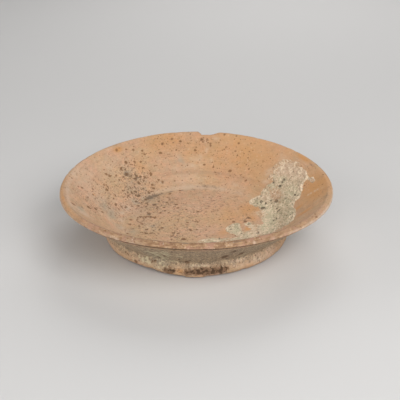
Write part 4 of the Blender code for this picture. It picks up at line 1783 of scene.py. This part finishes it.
@dataclass(frozen=True)
class TerracottaFinish:
    """Dry fired clay: tan, pink and orange in patches, stained, pitted and rubbed, with painted light and
    shade.
    """

    tan: Colour = (0.515, 0.338, 0.196)
    pink: Colour = (0.545, 0.337, 0.222)
    light: Colour = (0.620, 0.430, 0.280)
    orange: Colour = (0.570, 0.288, 0.108)
    rust: Colour = (0.240, 0.120, 0.055)
    grey_green: Colour = (0.380, 0.315, 0.228)
    pale: Colour = (0.590, 0.440, 0.320)
    shade: Colour = (0.185, 0.135, 0.095)
    film: Colour = (0.370, 0.280, 0.185)
    lime: Colour = (0.560, 0.480, 0.310)
    earth: Colour = (0.200, 0.112, 0.062)
    # Soil's tone; it is also the painted shadow under the lip.
    soil: Colour = (0.070, 0.040, 0.022)
    pit: Colour = (0.120, 0.075, 0.048)
    # Dark lip tone, laid mostly on the front: partly its own colour, partly painted shade.
    lip: Colour = (0.225, 0.122, 0.064)
    lip_spots: Colour = (0.410, 0.258, 0.142)
    # Rose tone; at the foot's lowest part it is partly painted shade.
    rose: Colour = (0.370, 0.205, 0.135)
    # Pale edge tone; on the lip's outer edge it is partly a painted highlight.
    edge: Colour = (0.640, 0.500, 0.395)
    dark_line: Colour = (0.62, 0.56, 0.50)
    film_dark: Colour = (0.66, 0.67, 0.68)
    film_light: Colour = (1.32, 1.30, 1.26)
    roughness: float = 0.88
    specular: float = 0.25
    tooth_scale: float = 1100.0
    streak_height: float = 0.6
    bump_strength: float = 0.4
    bump_depth: float = 0.3 * MM

    def build(self, effects: Effects) -> bpy.types.Material:
        """Build the material: the clay, what lies on it, its grit, and dirt, painted shade and pits over
        all.

        Args:
            effects: the shared effects.

        Returns:
            The material.
        """
        material, graph, shader = new_material("terracotta", self.roughness, self.specular)
        coat = Coat(graph, effects)
        film = graph.attribute("film")
        density = graph.math("MAXIMUM", graph.attribute(Tint.SPECKS.value), film)
        streaks = self.lay_clay(coat, density)
        self.lay_stains(coat, film)
        height = graph.noise(coat.place, self.tooth_scale, 3.0, 0.6)
        height = graph.math("ADD", height, graph.product(streaks, self.streak_height))
        for specks in self.lay_grit(coat, density):
            height = graph.math("SUBTRACT", height, specks)
        self.lay_dirt_and_shade(coat, density)
        coat.finish(shader, height, self.bump_strength, self.bump_depth)
        return material

    def lay_clay(self, coat: Coat, density: Socket) -> Socket:
        """Lay the clay: a mottle of tan and pink, finer mottles over it, and turning lines.

        Args:
            coat: the finish's coat.
            density: how close the specks are.

        Returns:
            The streaks that the turning left.
        """
        graph, turning = coat.graph, coat.effects.turning
        coat.colour = coat.effect(coat.effects.mottle, Scale=30.0, First=self.tan, Second=self.pink)
        for share, scale, dark, light, width in (
            (1.0, 110.0, (0.94, 0.96, 0.95), (1.06, 1.04, 1.04), 0.2),
            (1.0, 190.0, (1.03, 0.99, 0.97), (0.97, 1.01, 1.02), 0.15),
            (1.0, 330.0, (0.94, 0.96, 0.95), (1.06, 1.04, 1.05), 0.2),
            (1.0, 800.0, (0.92, 0.92, 0.92), (1.08, 1.08, 1.08), 0.22),
            (density, 310.0, (0.88, 0.92, 0.90), (1.12, 1.07, 1.08), 0.2),
            (density, 560.0, (0.78, 0.79, 0.79), (1.22, 1.21, 1.19), 0.2),
        ):
            coat.grain(share, scale, dark, light, width)
        lines, streaks = coat.effect(turning), coat.effect(turning, Spacing=0.0015, Run=10.0)
        for trace, share in ((lines, 0.22), (streaks, 0.34)):
            coat.lay(graph.step(trace, 0.5, 0.78), share, self.light)
            coat.multiply(graph.product(graph.step(trace, 0.5, 0.24), share), self.dark_line)
        return streaks

    def lay_stains(self, coat: Coat, film: Socket) -> None:
        """Lay the stains and bands that the mesh's attributes hold, painted shade and a painted highlight
        among them, and the film's grit.

        Args:
            coat: the finish's coat.
            film: how strong the film is.
        """
        graph = coat.graph
        rubbed = coat.effect(coat.effects.turning, Spacing=0.0022, Run=22.0, Rise=-1.0)
        # The lip's tone: its own colour, and painted shade on its front.
        lip_tone_and_shade = graph.mix(graph.step(rubbed, 0.36, 0.68), self.lip, self.lip_spots)
        rosy = graph.step(graph.noise(coat.place, 150.0), 0.46, 0.66)
        lip_tone_and_shade = graph.mix(rosy, lip_tone_and_shade, self.rose)
        for name, tone, share, scale, push in (
            (Tint.ORANGE.value, self.orange, 0.85, 90.0, 0.5),
            ("film", self.film, 0.92, 240.0, 0.9),
            ("lip", lip_tone_and_shade, 0.95, 260.0, 0.4),
            (Tint.PALE.value, self.pale, 0.75, 300.0, 0.9),
            (Tint.GREY_GREEN.value, self.grey_green, 0.85, 260.0, 1.1),
            ("lip_ochre", self.orange, 0.42, 200.0, 0.8),
            ("pale_ring", self.pale, 0.55, 260.0, 0.9),
            ("dark_ring", self.shade, 0.20, 300.0, 0.9),
            # The foot's lowest part: rose tone and painted shade.
            ("foot_edge_tone_and_shade", self.rose, 0.8, 300.0, 0.9),
            # The lip's outer edge: pale wear and a painted highlight.
            ("lip_outer_wear_and_highlight", self.edge, 0.9, 200.0, 1.0),
            ("lip_inner_pale", self.edge, 0.32, 260.0, 1.6),
            ("lip_inner_edge", self.shade, 0.65, 200.0, 1.0),
            # The soil tone here is painted shadow under the lip.
            ("under_lip_shadow", self.soil, 0.88, 200.0, 0.4),
        ):
            coat.layer(name, tone, share, scale, push)
        for scale in (420.0, 900.0):
            coat.grain(graph.product(film, 0.8), scale, self.film_dark, self.film_light, 0.14)

    def lay_grit(self, coat: Coat, density: Socket) -> list[Socket]:
        """Lay dark specks, then pale ones.

        Args:
            coat: the finish's coat.
            density: how close the specks are.

        Returns:
            The masks of the dark ones, which are sunk.
        """
        graph, sunk = coat.graph, []
        brown = graph.mix(graph.product(density, 0.8), self.rust, self.shade)
        for scale, size, most, least, share in (
            (400.0, 0.46, 0.32, 0.008, 0.85),
            (650.0, 0.52, 0.48, 0.02, 0.85),
            (1000.0, 0.55, 0.55, 0.05, 0.8),
        ):
            amount = graph.math("ADD", graph.product(density, most - least), least)
            sunk.append(coat.specks(scale, size, amount, share, brown))
        for scale, most, tone in ((520.0, 0.3, self.light), (860.0, 0.45, self.edge)):
            amount = graph.math("ADD", graph.product(density, most), 0.05)
            coat.specks(scale, 0.4, amount, 0.5, tone)
        return sunk

    def lay_dirt_and_shade(self, coat: Coat, density: Socket) -> None:
        """Lay grey smears with some painted shade, lime, soil and pits, each over the last.

        Args:
            coat: the finish's coat.
            density: how close the specks are; pits turn from rust to dark with it.
        """
        graph = coat.graph
        # Grey smears, and the wide faint painted shade on the inside and the rim.
        coat.layer(Tint.SHADE.value, self.shade, 0.85, 420.0, 0.9, 0.0, 0.75)
        coat.layer(Tint.LIME.value, self.lime, 0.85, 420.0, 3.4, 0.45, 0.85)
        hollows = graph.product(graph.attribute(Tint.LIME.value), 0.5)
        coat.specks(520.0, 0.5, hollows, 0.8, self.shade)
        coat.layer(Tint.SOIL.value, self.earth, 0.9, 350.0, 1.6, 0.05, 0.5)
        coat.layer(Tint.SOIL.value, self.soil, 0.92, 430.0, 3.6, 0.45, 0.85)
        pit_tone = graph.mix(graph.product(density, 0.7), self.rust, self.pit)
        coat.layer("pit", pit_tone, 0.85, 850.0, 1.1, 0.08, 0.42)


@dataclass(frozen=True)
class LimeFinish:
    """Lime crust: grey-green in the hollows, cream on the crests and along the raised edges; the crests'
    cream is partly painted highlight and the pockets' dark partly painted shade.
    """

    hollow: Colour = (0.390, 0.325, 0.212)
    body: Colour = (0.540, 0.420, 0.285)
    pink: Colour = (0.562, 0.400, 0.280)
    clay: Colour = (0.490, 0.310, 0.185)
    green: Colour = (0.525, 0.460, 0.305)
    # Cream of the crests, edges and veins; on the crests it is partly painted highlight.
    cream_and_highlight: Colour = (0.720, 0.575, 0.410)
    # Dark of the pockets and specks; in the pockets it is partly painted shade.
    pocket_and_shade: Colour = (0.125, 0.100, 0.065)
    roughness: float = 0.93
    specular: float = 0.2
    tooth_scale: float = 1300.0
    bump_strength: float = 0.6
    bump_depth: float = 0.4 * MM

    def build(self, effects: Effects) -> bpy.types.Material:
        """Build the material.

        Formula: a mottle of hollow and body tones takes the mesh's attributes, specks, pale
        veins where noise is near its middle, and a fine mottle, one over the other.

        Args:
            effects: the shared effects.

        Returns:
            The material.
        """
        material, graph, shader = new_material("lime_crust", self.roughness, self.specular)
        coat = Coat(graph, effects)
        coat.colour = coat.effect(effects.mottle, Scale=175.0, First=self.hollow, Second=self.body,
                                  Middle=0.46, Width=0.10)
        for name, tone, share, scale, push, low, high in (
            ("pink", self.pink, 0.85, 300.0, 0.9, 0.1, 0.9),
            ("green", self.green, 0.75, 300.0, 0.9, 0.1, 0.9),
            # Cream on the crests: partly the lime's own colour, partly painted highlight.
            ("crest_and_highlight", self.cream_and_highlight, 0.75, 900.0, 0.7, 0.35, 0.95),
            ("edge", self.cream_and_highlight, 0.75, 600.0, 1.1, 0.3, 0.85),
            # Dark in the pockets: partly the crust's own colour, partly painted shade.
            ("pocket_and_shade", self.pocket_and_shade, 0.92, 900.0, 0.8, 0.3, 0.8),
            ("thin", self.clay, 0.85, 420.0, 3.0, 0.3, 0.95),
        ):
            coat.layer(name, tone, share, scale, push, low, high)
        bare = graph.math("SUBTRACT", 1.0, graph.product(graph.attribute("pink"), 0.95))
        for scale, most in ((460.0, 0.17), (780.0, 0.22)):
            coat.specks(scale, 0.46, graph.product(bare, most), 0.75, self.pocket_and_shade)
        for scale, half, share in ((165.0, 0.05, 0.90), (350.0, 0.055, 0.75)):
            grain = graph.math("SUBTRACT", graph.noise(coat.place, scale, 1.0), 0.5)
            patchy = graph.step(graph.noise(coat.place, scale * 0.7), 0.42, 0.56)
            vein = graph.step(graph.math("ABSOLUTE", grain), half, 0.3 * half)
            coat.lay(graph.product(vein, patchy), share, self.cream_and_highlight)
        coat.grain(1.0, 900.0, (0.84, 0.84, 0.84), (1.16, 1.16, 1.16), 0.2)
        tooth = graph.noise(coat.place, self.tooth_scale, 4.0, 0.65)
        coat.finish(shader, tooth, self.bump_strength, self.bump_depth)
        return material


@dataclass(frozen=True)
class Lamp:
    """A soft square light, placed by its turn from the front and its height, both in degrees."""

    name: str
    azimuth: float
    elevation: float
    watts: float
    width: float = 0.8
    distance: float = 1.3
    warmth: Colour = (1.0, 1.0, 1.0)

    def hang(self) -> None:
        """Hang the light so that it looks at the bowl."""
        data = bpy.data.lights.new(self.name, "AREA")
        data.shape, data.size, data.energy, data.color = "SQUARE", self.width, self.watts, self.warmth
        lamp = bpy.data.objects.new(self.name, data)
        turn, rise = math.radians(self.azimuth), math.radians(self.elevation)
        back = np.array([math.cos(rise) * math.sin(turn), -math.cos(rise) * math.cos(turn), math.sin(rise)])
        side = np.cross([0.0, 0.0, 1.0], back)
        side /= np.linalg.norm(side)
        turned = np.stack([side, np.cross(back, side), back], axis=1)
        place = Matrix.Translation((back * self.distance).tolist())
        lamp.matrix_world = place @ Matrix(turned.tolist()).to_4x4()
        bpy.context.scene.collection.objects.link(lamp)


@dataclass(frozen=True)
class Studio:
    """The plain pale floor and the soft lights."""

    floor_tone: Colour = (0.62, 0.61, 0.60)
    floor_roughness: float = 0.9
    floor_specular: float = 0.2
    floor_width: float = 2.4
    floor_front: float = -1.15
    floor_back: float = 1.0
    sweep_radius: float = 0.5
    wall_height: float = 1.6
    sky: float = 0.02
    backdrop: float = 0.75
    lamps: tuple[Lamp, ...] = (
        Lamp("key_light", 42.0, 40.0, 11.3),
        Lamp("front_light", 0.0, 40.0, 5.6),
        Lamp("front_low_light", -18.0, 15.0, 5.2),
        Lamp("left_light", -88.0, 15.0, 5.9),
        Lamp("back_light", 168.0, 40.0, 7.0),
    )

    def floor(self) -> None:
        """Build the floor, which sweeps up into a wall behind.

        Formula: a flat run, a quarter of a circle and an upright run, all carried along X.
        """
        turn = np.linspace(-math.pi / 2, 0.0, ARC_STEPS + 1)
        sweep = np.stack([np.cos(turn), np.sin(turn) + 1.0], axis=1) * self.sweep_radius
        start = [[self.floor_front, 0.0]]
        end = [[self.floor_back + self.sweep_radius, self.wall_height]]
        line = np.concatenate([start, sweep + [self.floor_back, 0.0], end])
        half, count = self.floor_width / 2, len(line)
        edges = [np.column_stack([np.full(count, place), line]) for place in (-half, half)]
        here = np.arange(count - 1)
        quads = np.stack([here, here + count, here + count + 1, here + 1], axis=1)
        floor = new_mesh("studio_floor", np.concatenate(edges), [quads])
        material, graph, shader = new_material("studio_paper", self.floor_roughness, self.floor_specular)
        graph.feed(shader.inputs["Base Color"], self.floor_tone)
        floor.data.materials.append(material)

    def light(self) -> None:
        """Hang the lights, set the faint sky, which looks pale past the floor, and the colours."""
        for lamp in self.lamps:
            lamp.hang()
        world = bpy.data.worlds.new("studio_sky")
        world.use_nodes = True
        graph = Graph(world.node_tree)
        looked_at = graph.node("ShaderNodeLightPath").outputs["Is Camera Ray"]
        strength = graph.math("MULTIPLY_ADD", looked_at, self.backdrop, self.sky)
        sky = graph.node("ShaderNodeBackground", Color=(1.0, 1.0, 1.0), Strength=strength)
        graph.node("ShaderNodeOutputWorld", Surface=sky.outputs[0])
        bpy.context.scene.world = world
        bpy.context.scene.view_settings.view_transform = "Standard"


def triangles(piece: bpy.types.Object) -> int:
    """Count a piece's triangles."""
    piece.data.calc_loop_triangles()
    return len(piece.data.loop_triangles)


def main() -> None:
    """Load the frame, build the bowl and its crust, dress them and light the scene."""
    logging.basicConfig(level=logging.INFO, format="%(name)s: %(message)s")
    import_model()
    lowest, highest = (np.array(corner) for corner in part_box("bowl"))
    view = PhotoView()
    view.make_camera()
    form = BowlForm(rim_radius=float(highest[0]))
    effects = Effects.build()

    bowl = BowlMesh(form, view).build(highest, lowest)
    bowl.data.materials.append(TerracottaFinish().build(effects))
    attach(bowl, "root")
    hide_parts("bowl")

    crust = LimeCrust(form, view).build()
    crust.data.materials.append(LimeFinish().build(effects))
    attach(crust, "root")

    studio = Studio()
    studio.floor()
    studio.light()
    for piece in (bowl, crust):
        log.info("%s: %d triangles", piece.name, triangles(piece))


if __name__ == "__main__":
    main()
